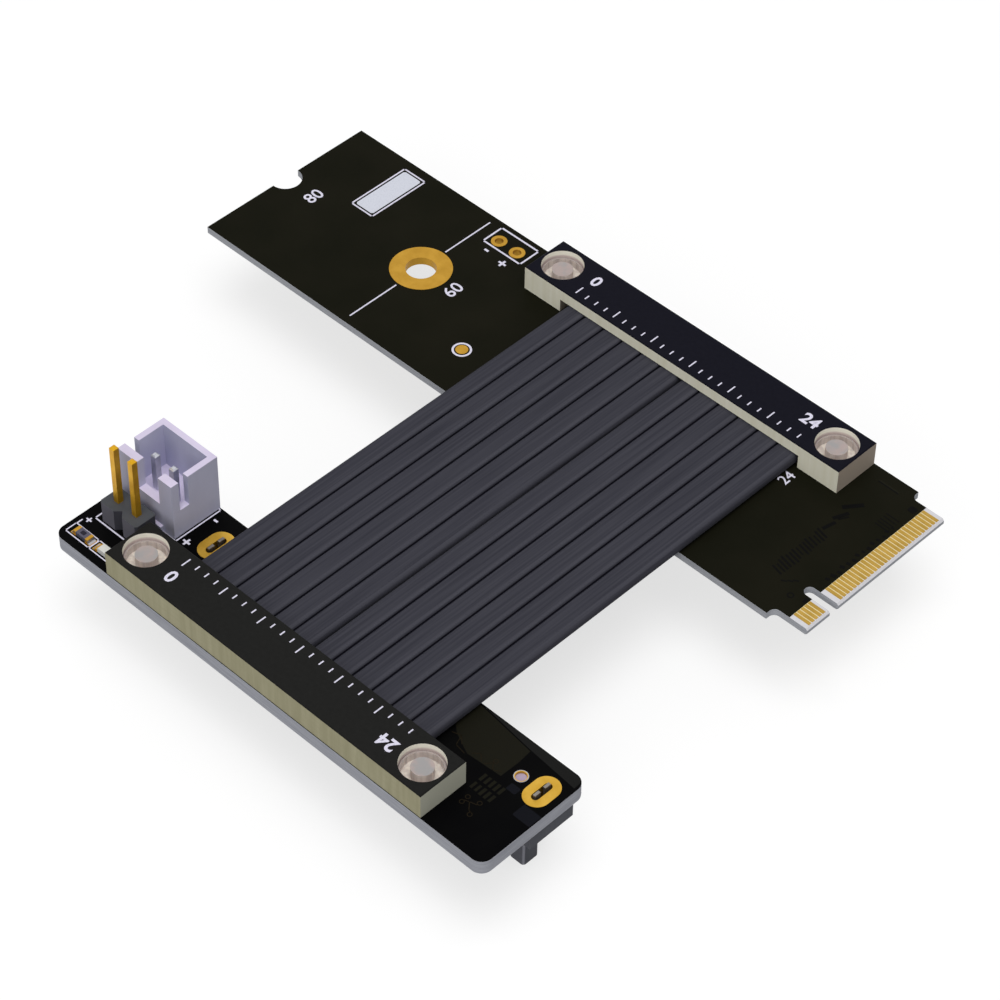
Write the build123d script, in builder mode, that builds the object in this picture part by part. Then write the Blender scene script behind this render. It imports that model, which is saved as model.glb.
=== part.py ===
from build123d import *
import os

os.makedirs("parts", exist_ok=True)

# Flat ribbon adapter: an edge card and a drive socket board joined by two shielded ribbons.
# Frame: millimetres, origin on the card's screw hole at the card's underside, +X towards
# the gold edge, +Y away from the drive board, +Z up through the side that carries the bars.

# Edge card: 80 by 22 mm, its width set by the finger pitch
card_length = 80.0
card_thick = 0.8
hole_to_edge = 60.0         # from the screw hole to the gold edge
notch_radius = 1.75
tongue_length = 4.0
tongue_side = 0.675         # tongue beyond the outermost fingers
shoulder_step = 1.075       # card beyond the tongue's sides
shoulder_fillet = 0.7       # between the shoulders and the tongue's sides
edge_bevel = 0.2
key_width = 1.2
key_depth = 3.5

# Gold fingers
finger_pitch = 0.5
finger_width = 0.35
finger_length = 1.85
finger_setback = 0.25
long_row_count = 29
short_row_count = 5
row_half_pitches = 18.5     # outermost finger of the parts side from the centre line
key_pitches = 12.25         # key slot from the centre line
copper = 0.05               # plated copper standing proud of a board

# Plated holes and pads of the card
screw_hole_radius = 1.6
screw_sleeve = 0.2          # plated wall of the screw hole
screw_pad_radius = 3.25
wire_pad_radius = 0.85
wire_hole_radius = 0.45
wire_pad_pitch = 2.54
wire_pad_x = 2.7
wire_pad_edge = 2.4         # from the card's far edge
test_pad_radius = 0.65
test_pad_x = 11.4
test_pad_y = -5.65

# Drive board: reaches from the power header to the socket's far ear
drive_thick = 1.6
drive_corner = 1.2
drive_end_header = 1.3      # board beyond the power header
drive_end_socket = 0.75     # board beyond the socket's ear
board_gap = 26.25           # between the two boards' facing edges

# Clamp bars
bar_width = 5.6
bar_height = 2.9
bar_inset = 0.07            # from a board's outer edge
bar_edge = 0.12
bar_end = 0.37              # bar beyond the rivet heads' holes
pocket_fit = 0.18           # beside the ribbons
pocket_clear = 0.1          # above the ribbons
pocket_wall = 0.9           # closed back of the pocket
pocket_web = 0.17           # between the pocket and the rivet heads' holes

# Rivets
rivet_head_radius = 2.12
rivet_head_fit = 0.06
rivet_dish_radius = 1.95
rivet_dish_floor = 0.3
rivet_seat = 0.9            # bar floor under the rivet head
rivet_rim_height = 2.05     # above the board
rivet_stud_radius = 1.08
rivet_stud_height = 2.4     # above the board
rivet_shank_fit = 0.05
rivet_tail_radius = 1.6
rivet_tail_height = 0.5

# Ribbons
ridge_pitch = 2.52
ridges_per_ribbon = 6
ribbon_thick = 1.4
ribbon_lift = 0.05          # jacket above the boards' top faces
groove_depth = 0.3
groove_width = 0.16
shoulder_radius = 0.28
edge_flat = 0.2             # flat left on a ribbon's outer edges
ribbon_shift = 0.3          # ribbons from the common centre line
ribbon_split = 0.1          # between the two ribbons
ribbon_entry = 1.9          # jacket inside a bar's pocket
core_radius = 0.2
core_fit = 0.03
core_spacing = 1.1
core_drop_run = 0.9         # bare core coming down to its pad
core_tail = 0.9             # bare core lying on its pad
solder_pad_width = 0.7
solder_pad_length = 1.3

# Drive socket under the drive board: its lengths follow from the contacts
socket_edge = 0.27          # contact feet from the drive board's far edge
ear_end = 1.3               # ear beyond the lock
ear_width = 5.5
ear_height = 2.85
tower_end = 0.65            # tower wall at the slot's ends
tower_width = 4.9
tower_height = 8.0
slot_end = 0.65             # slot beyond the contact rows
slot_width = 1.35
slot_depth = 5.6
slot_hook = 1.1
hook_width = 1.3
post_gap = 0.75             # between the tower and a guide post
post_length = 1.8
post_width = 2.0
post_height = 8.8
post_round = 0.35
post_taper = 0.5
contact_count = 34
contact_pitch = 0.95
contact_width = 0.4
contact_thick = 0.16
contact_tip = 0.5           # contact end from the tower's mouth
contact_foot = 0.6          # foot beyond the ears' side
foot_clear = 0.02           # housing below the contact feet
lock_gap = 1.13             # lock from the ribbons' edge
lock_width = 2.0
lock_thick = 0.3
lock_split = 0.6
lock_depth = 2.2            # lock inside the ear
lock_proud = 0.35           # prong tips above the board
lock_fit = 0.02
lock_slot_length = 2.4
lock_slot_width = 0.8
lock_pad_length = 3.9
lock_pad_width = 2.64
peg_gap = 1.05              # peg from the tower's end
lock_from_peg = 2.5
peg_radius = 0.62
peg_fit = 0.06
peg_short = 0.25            # peg tip below the board's top

# Power header
header_length = 7.4
header_depth = 5.75
header_height = 6.8
header_wall = 0.65
header_front_wall = 0.9
header_floor = 1.6
header_gap = 4.48           # header from the ribbons' edge
header_edge = 0.02          # header from the drive board's far edge
header_notch_depth = 1.15
header_notch_sill = 3.2
header_slot_width = 2.95
header_slot_shift = 0.42    # front slot from the header's middle
header_slot_sill = 3.4
pin_side = 0.64
pin_hole_radius = 0.5
pin_taper = 0.15
header_pitch = 2.54
header_pin_row = 2.45       # pin row behind the header's front face
header_pin_height = 6.0
header_pin_tail = 1.2

# Light header
strip_pitch = 2.54
strip_height = 2.5
strip_corner = 0.2
strip_notch = 0.6           # cut where the two cells meet
strip_gap = 0.51            # strip from the clamp bar
strip_front = 0.61          # strip from the power header
strip_edge = 5.55           # pin row from the drive board's outer edge
strip_pin_height = 9.6
strip_pin_tail = 1.2

# Chip resistor and indicator light
chip_length = 2.0
chip_width = 0.85
chip_height = 0.45
chip_cap = 0.35
chip_pad_length = 2.7
chip_pad_width = 0.95
chip_edge = 1.65            # chip row from the drive board's outer edge
chip_gap = 0.65             # chip pads from the clamp bar
chip_step = 3.05            # between the two chips
light_height = 0.55

# Places worked out from the sizes above
top = card_thick
pin_row_half = finger_pitch * row_half_pitches
key_offset = finger_pitch * key_pitches
tongue_width = 2 * (pin_row_half + tongue_side)
card_width = tongue_width + 2 * shoulder_step
card_right = hole_to_edge
card_left = card_right - card_length
card_far = card_width / 2
shoulder_x = card_right - tongue_length
joint_x = hole_to_edge / 2
ribbon_x = joint_x + ribbon_shift
ribbon_width = ridge_pitch * ridges_per_ribbon
ribbon_edge = ribbon_x - ribbon_split / 2 - ribbon_width
ribbon_mid = top + ribbon_lift + ribbon_thick / 2
pocket_width = 2 * (ribbon_width + ribbon_split / 2 + ribbon_shift + pocket_fit)
pocket_height = ribbon_lift + ribbon_thick + pocket_clear
rivet_spacing = pocket_width + 2 * (pocket_web + rivet_head_fit + rivet_head_radius)
bar_length = rivet_spacing + 2 * (rivet_head_radius + rivet_head_fit + bar_end)
bar_left = joint_x - bar_length / 2
drive_far = -card_width / 2 - board_gap
drive_width = strip_edge + strip_pitch / 2 + strip_front + header_depth + header_edge
drive_near = drive_far - drive_width
drive_y = (drive_far + drive_near) / 2
drive_under = top - drive_thick
card_bar_y = card_far - bar_inset - bar_width / 2
drive_bar_y = drive_near + bar_inset + bar_width / 2
shank_radius = rivet_stud_radius
shank_hole = shank_radius + rivet_shank_fit
jacket_far = card_bar_y - bar_width / 2 + ribbon_entry
jacket_near = drive_bar_y + bar_width / 2 - ribbon_entry
tail_z = top + copper + core_radius
card_pad_y = jacket_far + core_drop_run + core_tail / 2
drive_pad_y = jacket_near - core_drop_run - core_tail / 2
core_step = (ridge_pitch - core_spacing) / 2
slot_length = contact_pitch * contact_count + 2 * slot_end
tower_length = slot_length + 2 * tower_end
peg_spacing = tower_length + 2 * peg_gap
lock_spacing = peg_spacing + 2 * lock_from_peg
ear_length = lock_spacing + 2 * ear_end
post_reach = tower_length / 2 + post_gap + post_length
socket_x = ribbon_edge - lock_gap + lock_spacing / 2
socket_y = drive_far - socket_edge - contact_foot - ear_width / 2
foot_gap = copper + contact_thick + foot_clear
tower_base = drive_under - foot_gap
header_x = ribbon_edge - header_gap - header_length / 2
header_y = drive_far - header_edge - header_depth / 2
header_pin_y = header_y - header_depth / 2 + header_pin_row
drive_left = header_x - header_length / 2 - drive_end_header
drive_right = socket_x + ear_length / 2 + drive_end_socket
drive_length = drive_right - drive_left
strip_x = bar_left - strip_gap - strip_pitch
strip_y = drive_near + strip_edge
light_x = bar_left - chip_gap - chip_pad_length / 2
chip_x = light_x - chip_step
chip_y = drive_near + chip_edge
wire_pad_y = card_far - wire_pad_edge


def finger_rows(first, long_count, short_count, short_first):
    """Centres of one side's fingers across the card, long row then short row."""
    long_row = [first - finger_pitch * i for i in range(long_count)]
    short_row = [short_first + finger_pitch * i for i in range(short_count)]
    return long_row + short_row


def core_places():
    """Centres of the cores across both ribbons."""
    places = []
    for side in (-1, 1):
        start = ribbon_x + side * ribbon_split / 2 + (side - 1) / 2 * ribbon_width
        for ridge in range(ridges_per_ribbon):
            left = start + ridge * ridge_pitch + core_step
            places += [left, left + core_spacing]
    return places


# Edge card: notched end, screw hole, stepped tongue with a key slot
with BuildPart() as card_board:
    with BuildSketch(Plane.XY) as card_outline:
        with Locations(((card_left + shoulder_x) / 2, 0)):
            Rectangle(shoulder_x - card_left, card_width)
        with Locations(((shoulder_x + card_right) / 2, 0)):
            Rectangle(tongue_length, tongue_width)
        shoulders = card_outline.vertices().group_by(Axis.X)[1]
        fillet(shoulders.sort_by(SortBy.DISTANCE)[:2], shoulder_fillet)
        with Locations((card_left, 0)):
            Circle(notch_radius, mode=Mode.SUBTRACT)
        with Locations((0, 0)):
            Circle(screw_hole_radius + screw_sleeve, mode=Mode.SUBTRACT)
        with Locations((card_right - key_depth / 2 + key_width / 4, -key_offset)):
            Rectangle(key_depth - key_width / 2, key_width, mode=Mode.SUBTRACT)
        with Locations((card_right - key_depth + key_width / 2, -key_offset)):
            Circle(key_width / 2, mode=Mode.SUBTRACT)
        with Locations((joint_x - rivet_spacing / 2, card_bar_y),
                       (joint_x + rivet_spacing / 2, card_bar_y)):
            Circle(shank_hole, mode=Mode.SUBTRACT)
        with Locations((wire_pad_x, wire_pad_y), (wire_pad_x + wire_pad_pitch, wire_pad_y)):
            Circle(wire_hole_radius + copper, mode=Mode.SUBTRACT)
    extrude(amount=card_thick)
    gold_end = card_board.faces().filter_by(Axis.X).group_by(Axis.X)[-1]
    chamfer(gold_end.edges().filter_by(Axis.Y), edge_bevel)
card_board.part.label = "card_board"
export_step(card_board.part, "parts/card_board.step")

# Gold fingers, parts side: long row and short row either side of the key slot
top_rows = finger_rows(pin_row_half, long_row_count, short_row_count, -pin_row_half)
finger_x = card_right - finger_setback - finger_length / 2
with BuildPart() as card_fingers_top:
    with BuildSketch(Plane.XY.offset(top)):
        with Locations(*[(finger_x, y) for y in top_rows]):
            Rectangle(finger_length, finger_width)
    extrude(amount=copper)
card_fingers_top.part.label = "card_fingers_top"
export_step(card_fingers_top.part, "parts/card_fingers_top.step")

# Gold fingers, plain side: set over by half a pitch, one fewer in the short row
under_first = pin_row_half - finger_pitch / 2
under_rows = finger_rows(under_first, long_row_count, short_row_count - 1, -under_first)
with BuildPart() as card_fingers_under:
    with BuildSketch(Plane.XY):
        with Locations(*[(finger_x, y) for y in under_rows]):
            Rectangle(finger_length, finger_width)
    extrude(amount=-copper)
card_fingers_under.part.label = "card_fingers_under"
export_step(card_fingers_under.part, "parts/card_fingers_under.step")


def plated_hole(x, y, hole_radius, wall, pad_radius):
    """Plated barrel with a flat pad on both faces of the card, as one turned section."""
    with BuildPart() as barrel:
        with BuildSketch(Plane.XY.offset(-copper)):
            with Locations((x, y)):
                Circle(pad_radius)
        extrude(amount=copper)
        with BuildSketch(Plane.XY):
            with Locations((x, y)):
                Circle(hole_radius + wall)
        extrude(amount=card_thick)
        with BuildSketch(Plane.XY.offset(top)):
            with Locations((x, y)):
                Circle(pad_radius)
        extrude(amount=copper)
        with Locations((x, y, top / 2)):
            Hole(hole_radius)
    return barrel.part


# Plated screw hole
card_screw_ring = plated_hole(0, 0, screw_hole_radius, screw_sleeve, screw_pad_radius)
card_screw_ring.label = "card_screw_ring"
export_step(card_screw_ring, "parts/card_screw_ring.step")

# Two plated wire holes for a supply lead
with BuildPart() as card_wire_pads:
    for x in (wire_pad_x, wire_pad_x + wire_pad_pitch):
        add(plated_hole(x, wire_pad_y, wire_hole_radius, copper, wire_pad_radius))
card_wire_pads.part.label = "card_wire_pads"
export_step(card_wire_pads.part, "parts/card_wire_pads.step")

# Ground test pad
with BuildPart() as card_test_pad:
    with BuildSketch(Plane.XY.offset(top)):
        with Locations((test_pad_x, test_pad_y)):
            Circle(test_pad_radius)
    extrude(amount=copper)
card_test_pad.part.label = "card_test_pad"
export_step(card_test_pad.part, "parts/card_test_pad.step")


def solder_pads(y):
    """Row of pads that the bare cores are soldered to, on a board's top face."""
    with BuildPart() as pads:
        with BuildSketch(Plane.XY.offset(top)):
            with Locations(*[(x, y) for x in core_places()]):
                Rectangle(solder_pad_width, solder_pad_length)
        extrude(amount=copper)
    return pads.part


card_solder_pads = solder_pads(card_pad_y)
card_solder_pads.label = "card_solder_pads"
export_step(card_solder_pads, "parts/card_solder_pads.step")

drive_solder_pads = solder_pads(drive_pad_y)
drive_solder_pads.label = "drive_solder_pads"
export_step(drive_solder_pads, "parts/drive_solder_pads.step")


def clamp_bar(y, inward):
    """Bar with a blind pocket open towards the ribbon and two stepped rivet holes."""
    pocket_depth = bar_width - pocket_wall
    pocket_y = y + inward * (bar_width - pocket_depth) / 2
    with BuildPart() as bar:
        with BuildSketch(Plane.XY.offset(top)):
            with Locations((joint_x, y)):
                Rectangle(bar_length, bar_width)
        extrude(amount=bar_height)
        chamfer(bar.faces().sort_by(Axis.Z)[-1].edges(), bar_edge)
        with BuildSketch(Plane.XY.offset(top)):
            with Locations((joint_x, pocket_y)):
                Rectangle(pocket_width, pocket_depth)
        extrude(amount=pocket_height, mode=Mode.SUBTRACT)
        with Locations((joint_x - rivet_spacing / 2, y, top + bar_height),
                       (joint_x + rivet_spacing / 2, y, top + bar_height)):
            CounterBoreHole(
                radius=shank_hole,
                counter_bore_radius=rivet_head_radius + rivet_head_fit,
                counter_bore_depth=bar_height - rivet_seat,
            )
    return bar.part


card_bar = clamp_bar(card_bar_y, -1)
card_bar.label = "card_bar"
export_step(card_bar, "parts/card_bar.step")

drive_bar = clamp_bar(drive_bar_y, 1)
drive_bar.label = "drive_bar"
export_step(drive_bar, "parts/drive_bar.step")


def rivet_pair(y, board_thick):
    """Two rivets: dished head with a stud in the bar, shank, and a tail under the board."""
    seat = top + rivet_seat
    under = top - board_thick
    dish = seat + rivet_dish_floor
    outline = [
        (0, under - rivet_tail_height),
        (rivet_tail_radius, under - rivet_tail_height),
        (rivet_tail_radius, under),
        (shank_radius, under),
        (shank_radius, seat),
        (rivet_head_radius, seat),
        (rivet_head_radius, top + rivet_rim_height),
        (rivet_dish_radius, top + rivet_rim_height),
        (rivet_dish_radius, dish),
        (rivet_stud_radius, dish),
        (rivet_stud_radius, top + rivet_stud_height),
        (0, top + rivet_stud_height),
    ]
    with BuildPart() as pair:
        for x in (joint_x - rivet_spacing / 2, joint_x + rivet_spacing / 2):
            with BuildSketch(Plane.XZ.offset(-y)):
                with BuildLine():
                    Polyline(*[(x + r, z) for r, z in outline], close=True)
                make_face()
            revolve(axis=Axis((x, y, 0), (0, 0, 1)))
    return pair.part


card_rivets = rivet_pair(card_bar_y, card_thick)
card_rivets.label = "card_rivets"
export_step(card_rivets, "parts/card_rivets.step")

drive_rivets = rivet_pair(drive_bar_y, drive_thick)
drive_rivets.label = "drive_rivets"
export_step(drive_rivets, "parts/drive_rivets.step")


def ribbon(left):
    """Moulded jacket: ridges on both faces with shallow grooves, bored for its cores."""
    half = ribbon_thick / 2
    groove = half - groove_depth
    flat = groove_width / 2
    with BuildPart() as jacket:
        with BuildSketch(Plane.XZ.offset(-jacket_far)):
            for ridge in range(ridges_per_ribbon):
                middle = left + (ridge + 0.5) * ridge_pitch
                with Locations((middle, ribbon_mid)):
                    RectangleRounded(ridge_pitch - groove_width, ribbon_thick, shoulder_radius)
            with Locations((left + ribbon_width / 2, ribbon_mid)):
                Rectangle(ribbon_width - 2 * flat - 2 * shoulder_radius, 2 * groove)
                RectangleRounded(
                    ribbon_width - groove_width, ribbon_thick, (ribbon_thick - edge_flat) / 2, mode=Mode.INTERSECT
                )
            for ridge in range(ridges_per_ribbon):
                start = left + ridge * ridge_pitch + core_step
                with Locations((start, ribbon_mid), (start + core_spacing, ribbon_mid)):
                    Circle(core_radius + core_fit, mode=Mode.SUBTRACT)
        extrude(amount=jacket_far - jacket_near)
    return jacket.part


ribbon_left = ribbon(ribbon_x - ribbon_split / 2 - ribbon_width)
ribbon_left.label = "ribbon_left"
export_step(ribbon_left, "parts/ribbon_left.step")

ribbon_right = ribbon(ribbon_x + ribbon_split / 2)
ribbon_right.label = "ribbon_right"
export_step(ribbon_right, "parts/ribbon_right.step")

# Cores: straight through the jackets, then down to the solder pads at both ends
with BuildPart() as ribbon_cores:
    for x in core_places():
        with BuildLine() as route:
            Polyline(
                (x, jacket_far + core_drop_run + core_tail, tail_z),
                (x, jacket_far + core_drop_run, tail_z),
                (x, jacket_far, ribbon_mid),
                (x, jacket_near, ribbon_mid),
                (x, jacket_near - core_drop_run, tail_z),
                (x, jacket_near - core_drop_run - core_tail, tail_z),
            )
        with BuildSketch(Plane(origin=route.line @ 0, z_dir=route.line % 0)):
            Circle(core_radius)
        sweep(path=route.line, transition=Transition.RIGHT)
ribbon_cores.part.label = "ribbon_cores"
export_step(ribbon_cores.part, "parts/ribbon_cores.step")

# Drive board: rounded corners, lock slots, peg, rivet and pin holes
lock_places = [(socket_x - lock_spacing / 2, socket_y), (socket_x + lock_spacing / 2, socket_y)]
peg_places = [(socket_x - peg_spacing / 2, socket_y), (socket_x + peg_spacing / 2, socket_y)]
header_pins = [(header_x - header_pitch / 2, header_pin_y), (header_x + header_pitch / 2, header_pin_y)]
strip_pins = [(strip_x - strip_pitch / 2, strip_y), (strip_x + strip_pitch / 2, strip_y)]
with BuildPart() as drive_board:
    with BuildSketch(Plane.XY.offset(drive_under)):
        with Locations((drive_left + drive_length / 2, drive_y)):
            RectangleRounded(drive_length, drive_width, drive_corner)
        with Locations(*lock_places):
            SlotOverall(
                lock_slot_length + 2 * copper, lock_slot_width + 2 * copper, rotation=90, mode=Mode.SUBTRACT
            )
        with Locations(*peg_places):
            Circle(peg_radius + peg_fit, mode=Mode.SUBTRACT)
        with Locations((joint_x - rivet_spacing / 2, drive_bar_y),
                       (joint_x + rivet_spacing / 2, drive_bar_y)):
            Circle(shank_hole, mode=Mode.SUBTRACT)
        with Locations(*header_pins, *strip_pins):
            Circle(pin_hole_radius, mode=Mode.SUBTRACT)
    extrude(amount=drive_thick)
drive_board.part.label = "drive_board"
export_step(drive_board.part, "parts/drive_board.step")

# Plated lock slots: a sleeve with an oval pad on both faces
with BuildPart() as lock_pads:
    for level, height, length, width in (
        (drive_under - copper, copper, lock_pad_length, lock_pad_width),
        (drive_under, drive_thick, lock_slot_length + 2 * copper, lock_slot_width + 2 * copper),
        (top, copper, lock_pad_length, lock_pad_width),
    ):
        with BuildSketch(Plane.XY.offset(level)):
            with Locations(*lock_places):
                SlotOverall(length, width, rotation=90)
        extrude(amount=height)
    with BuildSketch(Plane.XY.offset(drive_under - copper)):
        with Locations(*lock_places):
            SlotOverall(lock_slot_length, lock_slot_width, rotation=90)
    extrude(amount=drive_thick + 2 * copper, mode=Mode.SUBTRACT)
lock_pads.part.label = "lock_pads"
export_step(lock_pads.part, "parts/lock_pads.step")

# Socket housing: two ears on the board, a slotted tower and a guide post at each end
ear_foot = (ear_length - slot_length) / 2
ear_x = (ear_length - ear_foot) / 2
ear_top = drive_under - copper
with BuildPart() as drive_socket:
    with BuildSketch(Plane.XY.offset(drive_under - ear_height)):
        with Locations((socket_x, socket_y)):
            Rectangle(ear_length, ear_width)
    extrude(amount=ear_height - foot_gap)
    with BuildSketch(Plane.XY.offset(tower_base)):
        with Locations((socket_x - ear_x, socket_y), (socket_x + ear_x, socket_y)):
            Rectangle(ear_foot, ear_width)
    extrude(amount=ear_top - tower_base)
    with BuildSketch(Plane.XY.offset(drive_under - ear_height)):
        with Locations((socket_x, socket_y)):
            Rectangle(tower_length, tower_width)
    extrude(amount=ear_height - tower_height)
    post_x = post_reach - post_length / 2
    with BuildSketch(Plane.XY.offset(drive_under - ear_height)):
        with Locations((socket_x - post_x, socket_y), (socket_x + post_x, socket_y)):
            RectangleRounded(post_length, post_width, post_round)
    extrude(amount=ear_height - post_height)
    with BuildSketch(Plane.XY.offset(drive_under - tower_height)):
        with Locations((socket_x, socket_y)):
            Rectangle(slot_length, slot_width + 2 * contact_thick)
        hook_y = socket_y + slot_width / 2 + slot_hook / 2
        hook_x = (slot_length - hook_width) / 2
        with Locations((socket_x - hook_x, hook_y), (socket_x + hook_x, hook_y)):
            Rectangle(hook_width, slot_hook)
    extrude(amount=slot_depth, mode=Mode.SUBTRACT)
    channel_y = slot_width / 2 + contact_thick / 2
    with BuildSketch(Plane.XY.offset(drive_under - tower_height)):
        with Locations((socket_x, socket_y - channel_y), (socket_x, socket_y + channel_y)):
            Rectangle(contact_pitch * contact_count, contact_thick)
    extrude(amount=tower_height, mode=Mode.SUBTRACT)
    with BuildSketch(Plane.XY.offset(ear_top)):
        with Locations(*lock_places):
            Rectangle(lock_thick + 2 * lock_fit, lock_width + 2 * lock_fit)
    extrude(amount=-lock_depth, mode=Mode.SUBTRACT)
drive_socket.part.label = "drive_socket"
export_step(drive_socket.part, "parts/drive_socket.step")


def contact_row(side):
    """One row of spring contacts: a blade down the slot wall and a foot on the board."""
    wall = side * (slot_width / 2 + contact_thick)
    inner = side * slot_width / 2
    toe = side * (ear_width / 2 + contact_foot)
    tip = drive_under - tower_height + contact_tip
    sole = ear_top
    outline = [
        (wall, tip),
        (inner, tip),
        (inner, sole),
        (toe, sole),
        (toe, sole - contact_thick),
        (wall, sole - contact_thick),
    ]
    with BuildPart() as row:
        for index in range(contact_count):
            x = socket_x + (index - (contact_count - 1) / 2) * contact_pitch - contact_width / 2
            with BuildSketch(Plane.YZ.offset(x)):
                with BuildLine():
                    Polyline(*[(socket_y + y, z) for y, z in outline], close=True)
                make_face()
            extrude(amount=contact_width)
    return row.part


contacts_near = contact_row(-1)
contacts_near.label = "contacts_near"
export_step(contacts_near, "parts/contacts_near.step")

contacts_far = contact_row(1)
contacts_far.label = "contacts_far"
export_step(contacts_far, "parts/contacts_far.step")

# Copper pads on the board's underside, one above each contact foot
foot_length = contact_foot + ear_width / 2 - slot_width / 2
foot_y = ear_width / 2 + contact_foot - foot_length / 2
with BuildPart() as socket_pads:
    with BuildSketch(Plane.XY.offset(ear_top)):
        for side in (-1, 1):
            with Locations((socket_x, socket_y + side * foot_y)):
                with GridLocations(contact_pitch, foot_length, contact_count, 1):
                    Rectangle(contact_width, foot_length)
    extrude(amount=copper)
socket_pads.part.label = "socket_pads"
export_step(socket_pads.part, "parts/socket_pads.step")

# Forked board locks, pressed into the ears and through the plated slots
with BuildPart() as socket_locks:
    with BuildSketch(Plane.XY.offset(ear_top - lock_depth)):
        with Locations(*lock_places):
            Rectangle(lock_thick, lock_width)
    extrude(amount=top + lock_proud - ear_top + lock_depth)
    with BuildSketch(Plane.XY.offset(drive_under)):
        with Locations(*lock_places):
            Rectangle(lock_thick, lock_split)
    extrude(amount=drive_thick + lock_proud, mode=Mode.SUBTRACT)
socket_locks.part.label = "socket_locks"
export_step(socket_locks.part, "parts/socket_locks.step")

# Locating pegs between the ears and the board
with BuildPart() as socket_pegs:
    with BuildSketch(Plane.XY.offset(ear_top)):
        with Locations(*peg_places):
            Circle(peg_radius)
    extrude(amount=top - peg_short - ear_top)
socket_pegs.part.label = "socket_pegs"
export_step(socket_pegs.part, "parts/socket_pegs.step")

# Power header: open box with a notch in each end wall and a wide slot in the front wall
front_y = header_y - header_depth / 2
inner_depth = header_depth - header_wall - header_front_wall
with BuildPart() as power_header:
    with BuildSketch(Plane.XY.offset(top)):
        with Locations((header_x, header_y)):
            Rectangle(header_length, header_depth)
    extrude(amount=header_height)
    with BuildSketch(Plane.XY.offset(top + header_height)):
        with Locations((header_x, front_y + header_front_wall + inner_depth / 2)):
            Rectangle(header_length - 2 * header_wall, inner_depth)
    extrude(amount=header_floor - header_height, mode=Mode.SUBTRACT)
    with BuildSketch(Plane.XY.offset(top + header_height)):
        with Locations((header_x, front_y + header_front_wall + header_notch_depth / 2)):
            Rectangle(header_length, header_notch_depth)
    extrude(amount=header_notch_sill - header_height, mode=Mode.SUBTRACT)
    with BuildSketch(Plane.XY.offset(top + header_height)):
        with Locations((header_x + header_slot_shift, front_y + header_front_wall / 2)):
            Rectangle(header_slot_width, header_front_wall)
    extrude(amount=header_slot_sill - header_height, mode=Mode.SUBTRACT)
    with BuildSketch(Plane.XY.offset(top)):
        with Locations(*header_pins):
            Rectangle(pin_side, pin_side)
    extrude(amount=header_floor, mode=Mode.SUBTRACT)
power_header.part.label = "power_header"
export_step(power_header.part, "parts/power_header.step")


def square_pins(places, height, tail):
    """Square pins with tapered ends, through the board."""
    with BuildPart() as pins:
        with BuildSketch(Plane.XY.offset(drive_under - tail)):
            with Locations(*places):
                Rectangle(pin_side, pin_side)
        extrude(amount=drive_thick + height + tail)
        chamfer(pins.faces().filter_by(Axis.Z).edges(), pin_taper)
    return pins.part


power_header_pins = square_pins(header_pins, header_pin_height, header_pin_tail)
power_header_pins.label = "power_header_pins"
export_step(power_header_pins, "parts/power_header_pins.step")

# Light header: one moulded strip of two cells with cut corners
with BuildPart() as light_header:
    with BuildSketch(Plane.XY.offset(top)):
        for (x, y), left_cut, right_cut in zip(strip_pins, (strip_corner, strip_notch), (strip_notch, strip_corner)):
            with BuildSketch(mode=Mode.PRIVATE) as cell:
                Rectangle(strip_pitch, strip_pitch)
                chamfer(cell.vertices().sort_by(Axis.X)[:2], left_cut)
                chamfer(cell.vertices().sort_by(Axis.X)[-2:], right_cut)
            with Locations((x, y)):
                add(cell.sketch)
        with Locations(*strip_pins):
            Rectangle(pin_side, pin_side, mode=Mode.SUBTRACT)
    extrude(amount=strip_height)
light_header.part.label = "light_header"
export_step(light_header.part, "parts/light_header.step")

light_header_pins = square_pins(strip_pins, strip_pin_height, strip_pin_tail)
light_header_pins.label = "light_header_pins"
export_step(light_header_pins, "parts/light_header_pins.step")

# Pads under the chip resistor and the indicator light
pad_length = (chip_pad_length - chip_length) / 2 + chip_cap
pad_reach = (chip_pad_length - pad_length) / 2
with BuildPart() as chip_pads:
    with BuildSketch(Plane.XY.offset(top)):
        for x in (chip_x, light_x):
            with Locations((x - pad_reach, chip_y), (x + pad_reach, chip_y)):
                Rectangle(pad_length, chip_pad_width)
    extrude(amount=copper)
chip_pads.part.label = "chip_pads"
export_step(chip_pads.part, "parts/chip_pads.step")

# Chip resistor and the plated caps at its ends
chip_base = top + copper
body_length = chip_length - 2 * chip_cap
with BuildPart() as resistor_body:
    with BuildSketch(Plane.XY.offset(chip_base)):
        with Locations((chip_x, chip_y)):
            Rectangle(body_length, chip_width)
    extrude(amount=chip_height)
resistor_body.part.label = "resistor_body"
export_step(resistor_body.part, "parts/resistor_body.step")


def end_caps(x, height):
    """Two plated end caps of a chip part."""
    reach = (chip_length - chip_cap) / 2
    with BuildPart() as caps:
        with BuildSketch(Plane.XY.offset(chip_base)):
            with Locations((x - reach, chip_y), (x + reach, chip_y)):
                Rectangle(chip_cap, chip_width)
        extrude(amount=height)
    return caps.part


resistor_caps = end_caps(chip_x, chip_height)
resistor_caps.label = "resistor_caps"
export_step(resistor_caps, "parts/resistor_caps.step")

# Indicator light: clear moulded body between its plated ends
with BuildPart() as indicator_light:
    with BuildSketch(Plane.XY.offset(chip_base)):
        with Locations((light_x, chip_y)):
            Rectangle(body_length, chip_width)
    extrude(amount=light_height)
    chamfer(indicator_light.faces().sort_by(Axis.Z)[-1].edges().filter_by(Axis.Y), chip_cap / 4)
indicator_light.part.label = "indicator_light"
export_step(indicator_light.part, "parts/indicator_light.step")

light_caps = end_caps(light_x, chip_height / 2)
light_caps.label = "light_caps"
export_step(light_caps, "parts/light_caps.step")
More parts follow.
